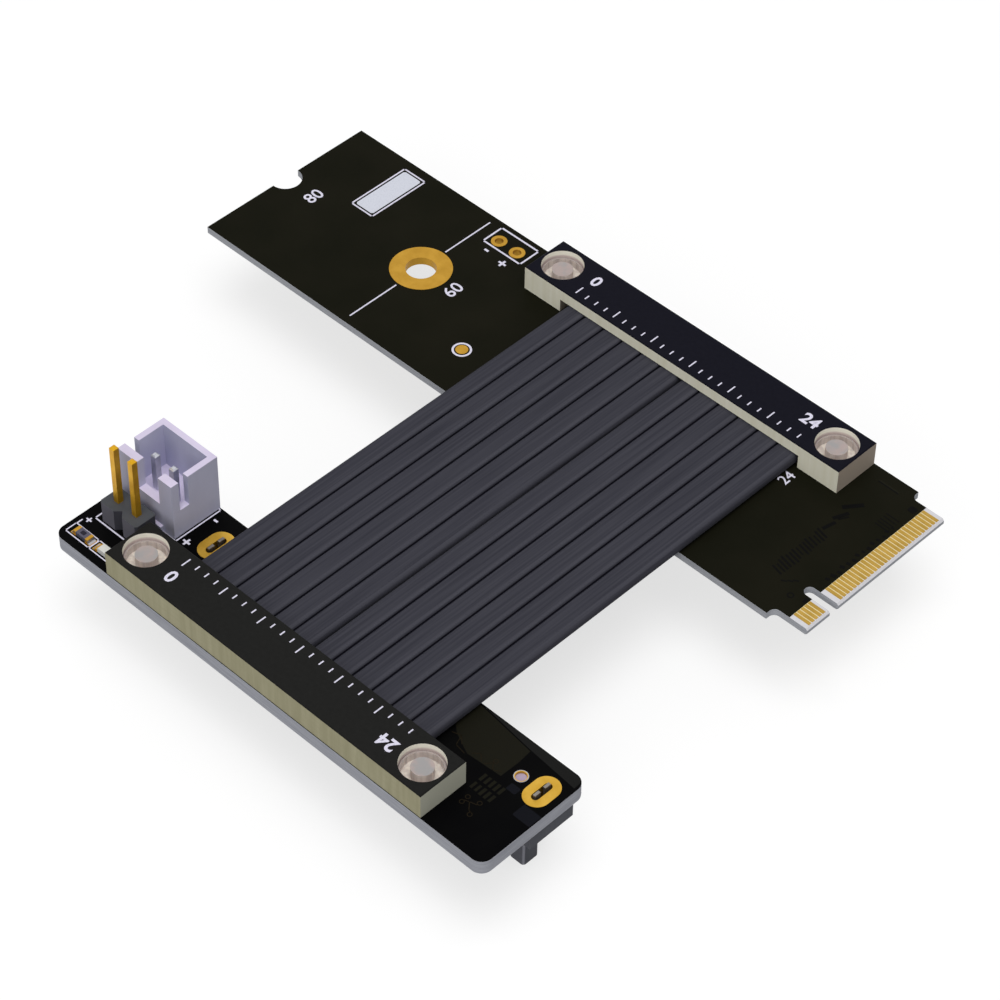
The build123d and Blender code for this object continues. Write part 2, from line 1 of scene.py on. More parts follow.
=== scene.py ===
"""Dresses the flat ribbon adapter: an edge card and a drive board joined by two moulded ribbons."""

import sys
import logging
import math
from collections.abc import Sequence
from dataclasses import dataclass, field
from enum import Enum
from typing import ClassVar, Protocol

import bmesh
import bpy
from mathutils import Matrix, Vector


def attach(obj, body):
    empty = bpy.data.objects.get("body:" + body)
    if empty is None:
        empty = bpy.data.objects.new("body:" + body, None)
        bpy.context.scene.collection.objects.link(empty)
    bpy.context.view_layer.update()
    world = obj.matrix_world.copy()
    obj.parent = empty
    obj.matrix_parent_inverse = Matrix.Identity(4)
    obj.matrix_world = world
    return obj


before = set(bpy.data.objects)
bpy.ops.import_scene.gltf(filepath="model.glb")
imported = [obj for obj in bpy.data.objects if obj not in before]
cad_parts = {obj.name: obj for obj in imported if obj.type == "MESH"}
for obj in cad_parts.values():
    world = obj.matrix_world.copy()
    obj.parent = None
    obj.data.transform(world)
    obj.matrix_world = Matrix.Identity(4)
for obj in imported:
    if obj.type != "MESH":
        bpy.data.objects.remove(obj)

logging.basicConfig(level=logging.INFO, format="%(name)s: %(message)s", stream=sys.stdout)
log = logging.getLogger("adapter")

MM = 0.001
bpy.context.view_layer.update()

Screen = tuple[int, int, int]
Point = tuple[float, float]
Triple = tuple[float, float, float]
Path = tuple[Point, ...]
Span = tuple[Point, Point, float]
Mark = tuple[str, Point, float, float, float]
Socket = bpy.types.NodeSocket
Material = bpy.types.Material
Piece = bpy.types.Object

WHITE = (1, 1, 1, 1)
SWING = 0.2
LEVEL = 0.6
STEEP = 0.7
TOP = 0.8
UNDER = -0.8
VIA_FILM = 0.012
CORES = 24
CORE_PITCH = 1.26
FIRST_CORE = 15.76
ALONG_X = (0.1, 1.0, 1.0)
ALONG_Y = (1.0, 0.1, 1.0)
ALONG_Z = (1.0, 1.0, 0.1)


def linear(colour: Screen) -> tuple[float, float, float, float]:
    """Turns a screen colour into the shader's linear one, by the standard screen curve.

    Args:
        colour: Red, green and blue from 0 to 255.

    Returns:
        Linear red, green, blue and full alpha.
    """
    parts = [c / 255 for c in colour]
    red, green, blue = (p / 12.92 if p <= 0.04045 else ((p + 0.055) / 1.055) ** 2.4 for p in parts)
    return red, green, blue, 1.0


def toned(colour: Screen, step: int) -> Screen:
    """A screen colour made lighter by a step, or darker by a negative one."""
    red, green, blue = (c + step for c in colour)
    return red, green, blue


def add_node(tree: bpy.types.NodeTree, kind: str, values: dict[int | str, object] | None = None,
             **settings: object) -> bpy.types.Node:
    """Adds a node to a tree.

    Args:
        tree: The node tree.
        kind: The node's type name.
        values: Inputs by name or index, each a socket to join or a value to type in.
        settings: Properties of the node itself.

    Returns:
        The new node.
    """
    made = tree.nodes.new(kind)
    for key, value in settings.items():
        setattr(made, key, value)
    for key, value in (values or {}).items():
        if isinstance(value, Socket):
            tree.links.new(value, made.inputs[key])
        else:
            made.inputs[key].default_value = value
    return made


class Graph:
    """The node tree of a material or of the world, with short calls that add nodes and join them."""

    def __init__(self, name: str, world: bool = False) -> None:
        """Makes an empty material, or an empty world, with only its output.

        Args:
            name: Name of the material or world.
            world: Whether it is a world.
        """
        store, kind = (bpy.data.worlds, "World") if world else (bpy.data.materials, "Material")
        self.owner = store.new(name)
        self.owner.use_nodes = True
        self.tree = self.owner.node_tree
        self.tree.nodes.clear()
        self.output = self.node("Output" + kind)

    def node(self, kind: str, values: dict[int | str, object] | None = None,
             **settings: object) -> bpy.types.Node:
        """Adds a shader node, named without its ShaderNode prefix."""
        return add_node(self.tree, "ShaderNode" + kind, values, **settings)

    def maths(self, operation: str, *values: Socket | float) -> Socket:
        """Joins values through one Math node and returns its result."""
        return self.node("Math", dict(enumerate(values)), operation=operation).outputs[0]

    def times(self, first: Socket, second: Socket | float) -> Socket:
        """One value times another."""
        return self.maths("MULTIPLY", first, second)

    def apart(self, value: Socket, other: float) -> Socket:
        """How far a value is from a number, without the sign."""
        return self.maths("ABSOLUTE", self.maths("SUBTRACT", value, other))

    def place(self) -> tuple[Socket, list[Socket]]:
        """Reads object coordinates in millimetres.

        Returns:
            The coordinates as a vector, and its three parts.
        """
        source = self.node("TexCoord").outputs["Object"]
        scaled = self.node("VectorMath", {0: source, "Scale": 1 / MM}, operation="SCALE").outputs[0]
        parts = self.node("SeparateXYZ", {0: scaled})
        return scaled, list(parts.outputs)

    def facing(self) -> list[Socket]:
        """Reads how far the surface faces along each axis, either way.

        Returns:
            The surface normal's three parts, all made positive.
        """
        normal = self.node("NewGeometry").outputs["Normal"]
        size = self.node("VectorMath", {0: normal}, operation="ABSOLUTE").outputs[0]
        return list(self.node("SeparateXYZ", {0: size}).outputs)

    def noise(self, place: Socket, scale: float, stretch: Triple = (1, 1, 1),
              detail: float = 3.0) -> Socket:
        """Noise in the part's millimetres.

        Args:
            place: Object coordinates in millimetres.
            scale: Blobs per millimetre.
            stretch: Factor on each axis, small along the grain.
            detail: Octaves of the noise.

        Returns:
            The noise, about 0.3 to 0.7.
        """
        turned = self.node("Mapping", {"Vector": place, "Scale": stretch}).outputs[0]
        return self.node("TexNoise", {"Vector": turned, "Scale": scale, "Detail": detail}).outputs["Fac"]

    def spread(self, value: Socket, low: float, high: float) -> Socket:
        """Runs a value from 0 at low to 1 at high, held at both ends."""
        inputs = {"Value": value, 1: low, 2: high}
        return self.node("MapRange", inputs, clamp=True).outputs[0]

    def above(self, value: Socket, limit: float) -> Socket:
        """One where the value is over the limit, otherwise zero."""
        return self.maths("GREATER_THAN", value, limit)

    def below(self, value: Socket, limit: float) -> Socket:
        """One where the value is under the limit, otherwise zero."""
        return self.maths("LESS_THAN", value, limit)

    def rough(self, grain: Socket, low: float, swing: float = SWING) -> Socket:
        """Roughness that rises with a grain from its low value."""
        return self.maths("MULTIPLY_ADD", grain, swing, low)

    def seen(self) -> Socket:
        """Tells rays that show a surface to the viewer from those that only light others.

        Returns:
            One for a ray from the camera, off a gloss or through glass, otherwise zero.
        """
        rays = self.node("LightPath").outputs
        other = self.maths("MAXIMUM", rays["Is Glossy Ray"], rays["Is Transmission Ray"])
        return self.maths("MAXIMUM", rays["Is Camera Ray"], other)

    def blend(self, factor: Socket, low: Socket | Screen, high: Socket | Screen) -> Socket:
        """Mixes two colours, each a socket or a screen colour."""
        ends = [c if isinstance(c, Socket) else linear(c) for c in (low, high)]
        return self.node("Mix", {0: factor, 6: ends[0], 7: ends[1]}, data_type="RGBA").outputs[2]

    def relief(self, height: Socket, strength: float, distance: float) -> Socket:
        """Bump from a height socket, its distance in millimetres."""
        inputs = {"Height": height, "Strength": strength, "Distance": distance * MM}
        return self.node("Bump", inputs).outputs[0]

    def close(self, surface: Socket) -> None:
        """Joins a surface shader to the output."""
        self.tree.links.new(surface, self.output.inputs["Surface"])

    def finish(self, colour: Socket, roughness: Socket, normal: Socket, **constants: object) -> Material:
        """Ends the tree in one shader.

        Args:
            colour: Base colour.
            roughness: Roughness.
            normal: Bumped normal.
            constants: Other inputs typed on the shader, with underscores for spaces.

        Returns:
            The finished material.
        """
        links = {"Base Color": colour, "Roughness": roughness, "Normal": normal}
        shader = self.node("BsdfPrincipled", links)
        for key, value in constants.items():
            shader.inputs[key.replace("_", " ")].default_value = value
        self.close(shader.outputs[0])
        return self.owner


class Finish(Protocol):
    """Anything that can build one material."""

    def build(self) -> Material:
        """Builds the material."""


@dataclass(frozen=True)
class BoardFinish:
    """Black solder mask on the faces, bare laminate on the edges and on the gold edge's end."""

    name: str
    mask: Screen
    mask_worn: Screen
    edge: Screen = (196, 198, 204)
    edge_dark: Screen = (170, 173, 180)
    line: Screen = (214, 216, 222)
    bare: Screen = (226, 225, 229)
    gap: Screen = (236, 221, 172)
    low: float = 0.0
    high: float = TOP
    line_depth: float = 0.05
    bare_from: float = 1000.0
    gap_to: float = 59.6
    gap_half: float = 9.4
    key_y: float = -6.0
    key_half: float = 1.06

    def build(self) -> Material:
        """Builds the material: mask by the face's tilt, laminate layers by height.

        Returns:
            The finished material.
        """
        graph = Graph(self.name)
        place, (x, y, z) = graph.place()
        cloud = graph.noise(place, 0.16, detail=4)
        fine = graph.noise(place, 3.0)
        mask = graph.blend(graph.spread(cloud, 0.35, 0.7), self.mask, self.mask_worn)
        weave = graph.noise(place, 2.2, (0.12, 0.12, 9.0), 2)
        edge = graph.blend(graph.spread(weave, 0.35, 0.65), self.edge_dark, self.edge)
        rim = graph.maths("MAXIMUM", graph.above(z, self.high - self.line_depth),
                          graph.below(z, self.low + self.line_depth))
        edge = graph.blend(graph.times(rim, 0.6), edge, self.line)
        bare = graph.blend(fine, self.bare, toned(self.bare, -14))
        between = graph.times(graph.below(x, self.gap_to), graph.below(graph.apart(y, 0.0), self.gap_half))
        beside_key = graph.above(graph.apart(y, self.key_y), self.key_half)
        bare = graph.blend(graph.times(between, beside_key), bare, self.gap)
        face = graph.blend(graph.above(x, self.bare_from), mask, bare)
        colour = graph.blend(graph.above(graph.facing()[2], LEVEL), edge, face)
        bumped = graph.relief(fine, 0.1, 0.02)
        return graph.finish(colour, graph.rough(fine, 0.42), bumped, Specular_IOR_Level=0.02)


@dataclass(frozen=True)
class MetalFinish:
    """Plated or tinned metal with fine rub marks."""

    name: str
    bright: Screen
    dull: Screen
    roughness: float = 0.34
    grain: Triple = (1.0, 1.0, 1.0)

    def build(self) -> Material:
        """Builds the material: two tones through cloudy noise, and rubbed roughness.

        Returns:
            The finished material.
        """
        graph = Graph(self.name)
        place, _ = graph.place()
        cloud = graph.noise(place, 0.9, detail=3)
        rubs = graph.noise(place, 9.0, self.grain, 2)
        colour = graph.blend(graph.spread(cloud, 0.32, 0.68), self.dull, self.bright)
        rough = graph.rough(rubs, self.roughness - 0.13, 0.26)
        return graph.finish(colour, rough, graph.relief(rubs, 0.1, 0.01), Metallic=0.85)


@dataclass(frozen=True)
class BarFinish:
    """Thick laminate bar: black mask on top, cream layered sides, browner ends in painted shade, and a
    lower bore wall partly nylon-tinted, partly in painted shade.
    """

    name: str
    mask: Screen
    side: Screen
    side_dark: Screen
    # The end colour is painted shade on faces toward ±X, deepest on the card bar.
    end: Screen
    bores: Path
    bore: Screen = (252, 250, 236)
    # The bore's lower tone is partly the nylon's tint and partly painted shade low in the hole.
    bore_tint_and_shade: Screen = (212, 196, 192)
    bore_from: float = 3.0
    bore_to: float = 3.25
    bore_radius: float = 2.35
    crown: float = 3.7
    skin: float = 0.14

    def build(self) -> Material:
        """Builds the material from the face's tilt, the height in the bar and the rivets' places.

        Returns:
            The finished material.
        """
        graph = Graph(self.name)
        place, (x, y, z) = graph.place()
        tilt_x, _, tilt_z = graph.facing()
        saw = graph.noise(place, 1.5, (1.0, 1.0, 0.08), 3)
        plies = graph.noise(place, 3.2, (0.05, 0.05, 1.0), 2)
        side = graph.blend(graph.spread(saw, 0.3, 0.7), self.side_dark, self.side)
        layers = graph.times(graph.spread(plies, 0.45, 0.7), 0.3)
        side = graph.blend(layers, side, self.side_dark)
        # Painted shade on faces toward ±X.
        side = graph.blend(graph.above(tilt_x, STEEP), side, self.end)
        # Lower bore wall: partly the nylon's tint, partly painted shade low in the hole.
        wall = graph.blend(graph.spread(z, self.bore_from, self.bore_to), self.bore_tint_and_shade, self.bore)
        for centre_x, centre_y in self.bores:
            run, rise = graph.apart(x, centre_x), graph.apart(y, centre_y)
            square = graph.maths("ADD", graph.times(run, run), graph.times(rise, rise))
            inside = graph.below(graph.maths("SQRT", square), self.bore_radius)
            side = graph.blend(inside, side, wall)
        fine = graph.noise(place, 2.4)
        lid = graph.blend(fine, self.mask, toned(self.mask, 9))
        on_top = graph.times(graph.above(z, self.crown - self.skin), graph.above(tilt_z, 0.5))
        colour = graph.blend(on_top, side, lid)
        bumped = graph.relief(graph.maths("ADD", saw, plies), 0.14, 0.02)
        return graph.finish(colour, graph.rough(fine, 0.45), bumped, Specular_IOR_Level=0.03)


@dataclass(frozen=True)
class NylonFinish:
    """Milky translucent nylon: a pale dish, mauve walls, and a stud with a mottled top."""

    name: str
    pale: Screen = (232, 224, 212)
    deep: Screen = (208, 198, 190)
    wall: Screen = (222, 212, 207)
    wall_deep: Screen = (192, 181, 178)
    stud: Screen = (180, 165, 161)
    stud_grey: Screen = (164, 161, 161)
    rim: Screen = (168, 157, 153)
    rim_from: float = 2.8
    stud_from: float = 3.1

    def build(self) -> Material:
        """Builds the material: streaks along the rivet's axis, and each level in its own tone.

        Returns:
            The finished material.
        """
        graph = Graph(self.name)
        place, (_, _, z) = graph.place()
        streaks = graph.noise(place, 2.6, (1.0, 1.0, 0.05), 2)
        fresh = graph.spread(streaks, 0.36, 0.64)
        flat = graph.above(graph.facing()[2], STEEP)
        wall = graph.blend(fresh, self.wall_deep, self.wall)
        colour = graph.blend(flat, wall, graph.blend(fresh, self.deep, self.pale))
        mottle = graph.spread(graph.noise(place, 0.8), 0.4, 0.6)
        stud = graph.blend(mottle, self.stud_grey, self.stud)
        for height, tone in ((self.rim_from, self.rim), (self.stud_from, stud)):
            colour = graph.blend(graph.times(graph.above(z, height), flat), colour, tone)
        return graph.finish(colour, graph.rough(streaks, 0.32), graph.relief(streaks, 0.12, 0.02),
                            Specular_IOR_Level=0.2, Subsurface_Weight=0.2, Subsurface_Scale=0.0005,
                            Subsurface_Radius=(1.0, 0.8, 0.7))


@dataclass(frozen=True)
class JacketFinish:
    """Dark slate jacket: a painted highlight strip on one shoulder of each ridge, and near-black painted
    shade in and beside the grooves.

    Each rise and fall is the span, as a share of a ridge's width, over which that tone comes in or
    goes out; the crest's is a distance above or below the jacket's middle, in millimetres.
    """

    name: str
    left: float
    pitch: float = 2.52
    middle: float = 1.55
    ridges: int = 6
    margin: float = 0.4
    highlight_rise: Point = (0.76, 0.8)
    highlight_fall: Point = (0.93, 0.9)
    shade_fall: Point = (0.09, 0.04)
    groove_fall: Point = (0.055, 0.035)
    groove_rise: Point = (0.945, 0.965)
    crest_fall: Point = (0.62, 0.5)
    base: Screen = (60, 60, 68)
    # The strip colour is a painted highlight, and the groove colour below it is painted shade in the
    # grooves.
    strip: Screen = (74, 74, 82)
    groove_shade: Screen = (17, 17, 25)

    def build(self) -> Material:
        """Builds the material from the place across the ridges and the depth in the groove.

        Returns:
            The finished material.
        """
        graph = Graph(self.name)
        place, (x, _, z) = graph.place()
        half = self.ridges * self.pitch / 2
        run = graph.maths("SUBTRACT", x, self.left)
        across = graph.maths("FRACT", graph.maths("DIVIDE", run, self.pitch))
        streaks = graph.noise(place, 4.5, (1.0, 0.02, 1.0), 3)
        grain = graph.noise(place, 9.0, (1.0, 0.35, 1.0), 2)
        body = graph.blend(graph.spread(streaks, 0.3, 0.7), toned(self.base, -7), toned(self.base, 6))
        # Painted highlight: a lighter strip along one shoulder of each ridge.
        lit = graph.times(graph.spread(across, *self.highlight_rise), graph.spread(across, *self.highlight_fall))
        body = graph.blend(graph.times(lit, 0.55), body, self.strip)
        # Painted shade along the ridge's edge just past each groove.
        shade = graph.times(graph.spread(across, *self.shade_fall), 0.6)
        body = graph.blend(shade, body, self.groove_shade)
        # Painted shade deep in each groove between the ridges, away from the jacket's outer sides.
        low = graph.spread(graph.apart(z, self.middle), *self.crest_fall)
        near = graph.maths("MAXIMUM", graph.spread(across, *self.groove_fall),
                           graph.spread(across, *self.groove_rise))
        inside = graph.below(graph.apart(x, self.left + half), half - self.margin)
        deep_groove_shade = graph.times(graph.times(low, near), inside)
        colour = graph.blend(deep_groove_shade, body, self.groove_shade)
        bumped = graph.relief(graph.maths("ADD", streaks, graph.times(grain, 0.5)), 0.16, 0.02)
        return graph.finish(colour, graph.rough(grain, 0.6), bumped, Specular_IOR_Level=0.05)


@dataclass(frozen=True)
class MouldedFinish:
    """Moulded plastic with a fine eroded texture and slight flow marks, and painted light and shade: its
    walls and ±X ends in tones of their own, a painted highlight on rounded edges.
    """

    name: str
    base: Screen
    flow: Screen
    # The wall colour is painted light and shade: a tone of its own on every wall, set apart from the
    # top's.
    wall_shading: Screen
    roughness: float = 0.5
    gloss: float = 0.1
    texture: float = 5.0
    # The end colour is painted light and shade on faces toward ±X; the edge colour is a painted highlight
    # on rounded vertical edges.
    end: Screen | None = None
    edge: Screen | None = None

    def build(self) -> Material:
        """Builds the material: flow marks in the colour, texture in the relief, walls and ends in painted
        light and shade, and a painted highlight on rounded edges.

        Returns:
            The finished material.
        """
        graph = Graph(self.name)
        place, _ = graph.place()
        tilt_x, tilt_y, tilt_z = graph.facing()
        marks = graph.spread(graph.noise(place, 0.5, (1.0, 1.0, 0.35), 3), 0.34, 0.68)
        fine = graph.noise(place, self.texture, detail=2)
        colour = graph.blend(marks, self.base, self.flow)
        # Painted light and shade on the walls.
        wall = graph.blend(marks, self.wall_shading, toned(self.wall_shading, 6))
        # Painted light and shade on faces toward ±X.
        if self.end:
            end = graph.blend(marks, self.end, toned(self.end, 6))
            wall = graph.blend(graph.above(tilt_x, STEEP), wall, end)
        # Painted highlight on rounded vertical edges.
        if self.edge:
            edge_highlight = graph.spread(graph.maths("MINIMUM", tilt_x, tilt_y), 0.25, 0.6)
            wall = graph.blend(edge_highlight, wall, self.edge)
        colour = graph.blend(graph.above(tilt_z, LEVEL), wall, colour)
        rough = graph.rough(fine, self.roughness - SWING / 2)
        return graph.finish(colour, rough, graph.relief(fine, 0.2, 0.02), Specular_IOR_Level=self.gloss)


@dataclass(frozen=True)
class InkFinish:
    """Screen-printed ink with a slightly starved film."""

    name: str
    ink: Screen
    thin: Screen

    def build(self) -> Material:
        """Builds the material: starved spots through fine noise.

        Returns:
            The finished material.
        """
        graph = Graph(self.name)
        place, _ = graph.place()
        film = graph.noise(place, 7.0, detail=4)
        colour = graph.blend(graph.spread(film, 0.3, 0.5), self.thin, self.ink)
        bumped = graph.relief(film, 0.2, 0.01)
        return graph.finish(colour, graph.rough(film, 0.5), bumped, Specular_IOR_Level=0.05)


class Shape(Enum):
    """Small solids that the repeater sets out."""

    DISC = "disc"
    BLOCK = "block"


@dataclass
class Repeater:
    """Sets one small solid at each of many places with Geometry Nodes, and bakes the result.

    Attributes:
        shape: Which solid.
        size: Its length, width and height in millimetres.
        sides: Sides of a disc.
        foot_share: A disc's foot as a share of its top, under 1 for a cone.
        turn: Turn of each copy about the vertical, in degrees.
        jitter: Random share by which each copy's size varies.
        seed: Seed of that variation.
    """

    shape: Shape
    size: Triple
    sides: int = 12
    foot_share: float = 1.0
    turn: float = 0.0
    jitter: float = 0.0
    seed: int = 7

    def tree(self) -> tuple[bpy.types.NodeTree, dict[str, str]]:
        """Builds the node tree.

        Returns:
            The tree, and each named input's socket identifier.
        """
        tree = bpy.data.node_groups.new("repeat_" + self.shape.value, "GeometryNodeTree")
        face = tree.interface
        face.new_socket("Geometry", in_out="OUTPUT", socket_type="NodeSocketGeometry")
        face.new_socket("Geometry", in_out="INPUT", socket_type="NodeSocketGeometry")
        keys = {}
        for name, kind in (("Size", "Vector"), ("Turn", "Float"), ("Jitter", "Float"), ("Seed", "Int"),
                           ("Finish", "Material")):
            socket = face.new_socket(name, in_out="INPUT", socket_type="NodeSocket" + kind)
            keys[name] = socket.identifier
        source = add_node(tree, "NodeGroupInput").outputs
        if self.shape is Shape.BLOCK:
            solid = add_node(tree, "GeometryNodeMeshCube")
        else:
            solid = add_node(tree, "GeometryNodeMeshCone", {
                "Vertices": self.sides, "Radius Bottom": 0.5 * self.foot_share, "Radius Top": 0.5,
                "Depth": 1.0})
        points = add_node(tree, "GeometryNodeMeshToPoints", {0: source["Geometry"]})
        low, high = (add_node(tree, "ShaderNodeMath", {0: 1.0, 1: source["Jitter"]}, operation=way)
                     for way in ("SUBTRACT", "ADD"))
        share = add_node(tree, "FunctionNodeRandomValue", {
            2: low.outputs[0], 3: high.outputs[0], "Seed": source["Seed"]}, data_type="FLOAT")
        scale = add_node(tree, "ShaderNodeVectorMath", {
            0: source["Size"], "Scale": share.outputs[1]}, operation="SCALE")
        euler = add_node(tree, "ShaderNodeCombineXYZ", {"Z": source["Turn"]})
        lay = add_node(tree, "FunctionNodeEulerToRotation", {0: euler.outputs[0]})
        copies = add_node(tree, "GeometryNodeInstanceOnPoints", {
            "Points": points.outputs[0], "Instance": solid.outputs["Mesh"],
            "Scale": scale.outputs[0], "Rotation": lay.outputs[0]})
        real = add_node(tree, "GeometryNodeRealizeInstances", {0: copies.outputs[0]})
        paint = add_node(tree, "GeometryNodeSetMaterial", {
            "Geometry": real.outputs[0], "Material": source["Finish"]})
        add_node(tree, "NodeGroupOutput", {0: paint.outputs[0]})
        return tree, keys

    def bake(self, name: str, places: list[Triple], finish: Material) -> None:
        """Sets the copies out, turns them into a plain mesh and fits that as a piece.

        Args:
            name: The piece's name.
            places: Centre of each copy in millimetres.
            finish: The copies' material.
        """
        seeds = bpy.data.meshes.new(name + "_places")
        seeds.from_pydata([Vector(p) * MM for p in places], [], [])
        holder = bpy.data.objects.new(name + "_places", seeds)
        tree, keys = self.tree()
        modifier = holder.modifiers.new("repeat", "NODES")
        modifier.node_group = tree
        values = {"Size": [s * MM for s in self.size], "Turn": math.radians(self.turn),
                  "Jitter": self.jitter, "Seed": self.seed, "Finish": finish}
        for key, value in values.items():
            modifier[keys[key]] = value
        mesh = harden(holder)
        mesh.name = name
        fit_out(make_piece(name, mesh, finish))


def harden(holder: Piece) -> bpy.types.Mesh:
    """Turns an object into the plain mesh that it comes out as, and takes the object away.

    Args:
        holder: An object that isn't in the scene yet.

    Returns:
        The plain mesh.
    """
    bpy.context.scene.collection.objects.link(holder)
    bpy.context.view_layer.update()
    graph = bpy.context.evaluated_depsgraph_get()
    mesh = bpy.data.meshes.new_from_object(holder.evaluated_get(graph))
    holder.modifiers.clear()
    bpy.data.objects.remove(holder)
    return mesh


def add_band(shape: bmesh.types.BMesh, low: list[bmesh.types.BMVert],
             high: list[bmesh.types.BMVert]) -> None:
    """Joins two closed rows of vertices by a band of quads.

    Args:
        shape: The mesh in the making.
        low: One row, anticlockwise from above.
        high: The next row, vertex for vertex.
    """
    for a, b, c, d in zip(low, low[1:] + low[:1], high[1:] + high[:1], high):
        shape.faces.new((a, b, c, d))


def add_prism(shape: bmesh.types.BMesh, low: list[Triple], high: list[Triple]) -> None:
    """Adds a closed prism between two outlines.

    Args:
        shape: The mesh in the making.
        low: The lower outline in millimetres, anticlockwise from above.
        high: The upper outline, point for point.
    """
    low, high = ([shape.verts.new([c * MM for c in point]) for point in row] for row in (low, high))
    shape.faces.new(high)
    shape.faces.new(low[::-1])
    add_band(shape, low, high)


def make_piece(name: str, mesh: bpy.types.Mesh, finish: Material) -> Piece:
    """Links a mesh as an object at the origin.

    Args:
        name: The object's name.
        mesh: Its mesh, in place.
        finish: The one material that it wears.

    Returns:
        The new object.
    """
    piece = bpy.data.objects.new(name, mesh)
    bpy.context.scene.collection.objects.link(piece)
    mesh.materials.clear()
    mesh.materials.append(finish)
    return piece


def fit_out(piece: Piece) -> None:
    """Lets a piece ride on the part's one body.

    Args:
        piece: The finished piece.
    """
    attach(piece, "root")
    triangles = sum(len(p.vertices) - 2 for p in piece.data.polygons)
    log.info("%s: %d triangles", piece.name, triangles)


class Artwork:
    """Small closed shapes that make one piece, mostly thin printed plates on one level."""

    def __init__(self, level: float, film: float = 0.02, facing_up: bool = True) -> None:
        """Starts an empty print.

        Args:
            level: Height of the printed surface in millimetres.
            film: Thickness of the film in millimetres.
            facing_up: Whether the print lies on the surface or under it.
        """
        self.mesh = bmesh.new()
        self.low = level if facing_up else level - film
        self.high = level + film if facing_up else level

    def plate(self, outline: Sequence[Point]) -> None:
        """Adds a plate from its outline, which runs anticlockwise."""
        add_prism(self.mesh, *([(x, y, z) for x, y in outline] for z in (self.low, self.high)))

    def stroke(self, start: Point, end: Point, width: float) -> None:
        """Adds a straight line with square ends.

        Args:
            start: One end of its middle line, which the ink passes by half the width.
            end: The other end.
            width: The line's width.
        """
        along = Vector((end[0] - start[0], end[1] - start[1])).normalized() * width / 2
        side = Vector((-along.y, along.x))
        a, b = Vector(start) - along, Vector(end) + along
        self.plate([tuple(a - side), tuple(b - side), tuple(b + side), tuple(a + side)])

    def trail(self, points: Sequence[Point], width: float) -> None:
        """Adds a line of a width through points."""
        for start, end in zip(points, points[1:]):
            self.stroke(start, end, width)

    def frame(self, low: Point, high: Point, width: float) -> None:
        """Adds a rectangle's four sides."""
        corners = [low, (high[0], low[1]), high, (low[0], high[1]), low]
        self.trail(corners, width)

    def panel(self, low: Point, high: Point, corner: float) -> None:
        """Adds a filled rectangle with cut corners.

        Args:
            low: Its low corner.
            high: Its high corner.
            corner: How much of each side a corner's cut takes.
        """
        (x0, y0), (x1, y1), c = low, high, corner
        self.plate([(x0 + c, y0), (x1 - c, y0), (x1, y0 + c), (x1, y1 - c),
                    (x1 - c, y1), (x0 + c, y1), (x0, y1 - c), (x0, y0 + c)])

    def ring(self, centre: Point, inner: float, outer: float, sides: int = 32) -> None:
        """Adds a flat ring.

        Args:
            centre: Its centre.
            inner: Radius of the hole.
            outer: Radius of the edge.
            sides: Sides of both circles.
        """
        rows = []
        for radius, height in ((inner, self.low), (outer, self.low),
                               (outer, self.high), (inner, self.high)):
            row = []
            for angle in (math.tau * i / sides for i in range(sides)):
                x, y = centre[0] + radius * math.cos(angle), centre[1] + radius * math.sin(angle)
                row.append(self.mesh.verts.new((x * MM, y * MM, height * MM)))
            rows.append(row)
        for here, there in zip(rows, rows[1:] + rows[:1]):
            add_band(self.mesh, here, there)

    def words(self, text: str, centre: Point, size: float, turn: float, weight: float) -> None:
        """Adds plain characters.

        Args:
            text: The characters.
            centre: Middle of the text.
            size: Height of the font in millimetres.
            turn: Direction of reading from +X, in degrees.
            weight: Extra thickness of the strokes in millimetres.
        """
        curve = bpy.data.curves.new("print_" + text, "FONT")
        curve.body, curve.size, curve.offset = text, size, weight
        curve.align_x, curve.align_y = "CENTER", "CENTER"
        curve.extrude = (self.high - self.low) / 2
        curve.resolution_u = 3
        flat = harden(bpy.data.objects.new("print", curve))
        place = (Matrix.Scale(MM, 4) @ Matrix.Translation((*centre, (self.low + self.high) / 2))
                 @ Matrix.Rotation(math.radians(turn), 4, "Z"))
        flat.transform(place)
        shape = bmesh.new()
        shape.from_mesh(flat)
        bmesh.ops.remove_doubles(shape, verts=shape.verts, dist=1e-7)
        bmesh.ops.recalc_face_normals(shape, faces=shape.faces)
        shape.to_mesh(flat)
        shape.free()
        self.mesh.from_mesh(flat)

    def finish(self, name: str, finish: Material, slot: str = "board_black") -> None:
        """Closes the shapes and fits them as one piece.

        Args:
            name: The piece's name.
            finish: Its material.
            slot: Not used.
        """
        mesh = bpy.data.meshes.new(name)
        self.mesh.to_mesh(mesh)
        self.mesh.free()
        fit_out(make_piece(name, mesh, finish))


def built(finish: Finish) -> Material:
    """A palette's field, whose material is built together with the palette."""
    return field(default_factory=finish.build)


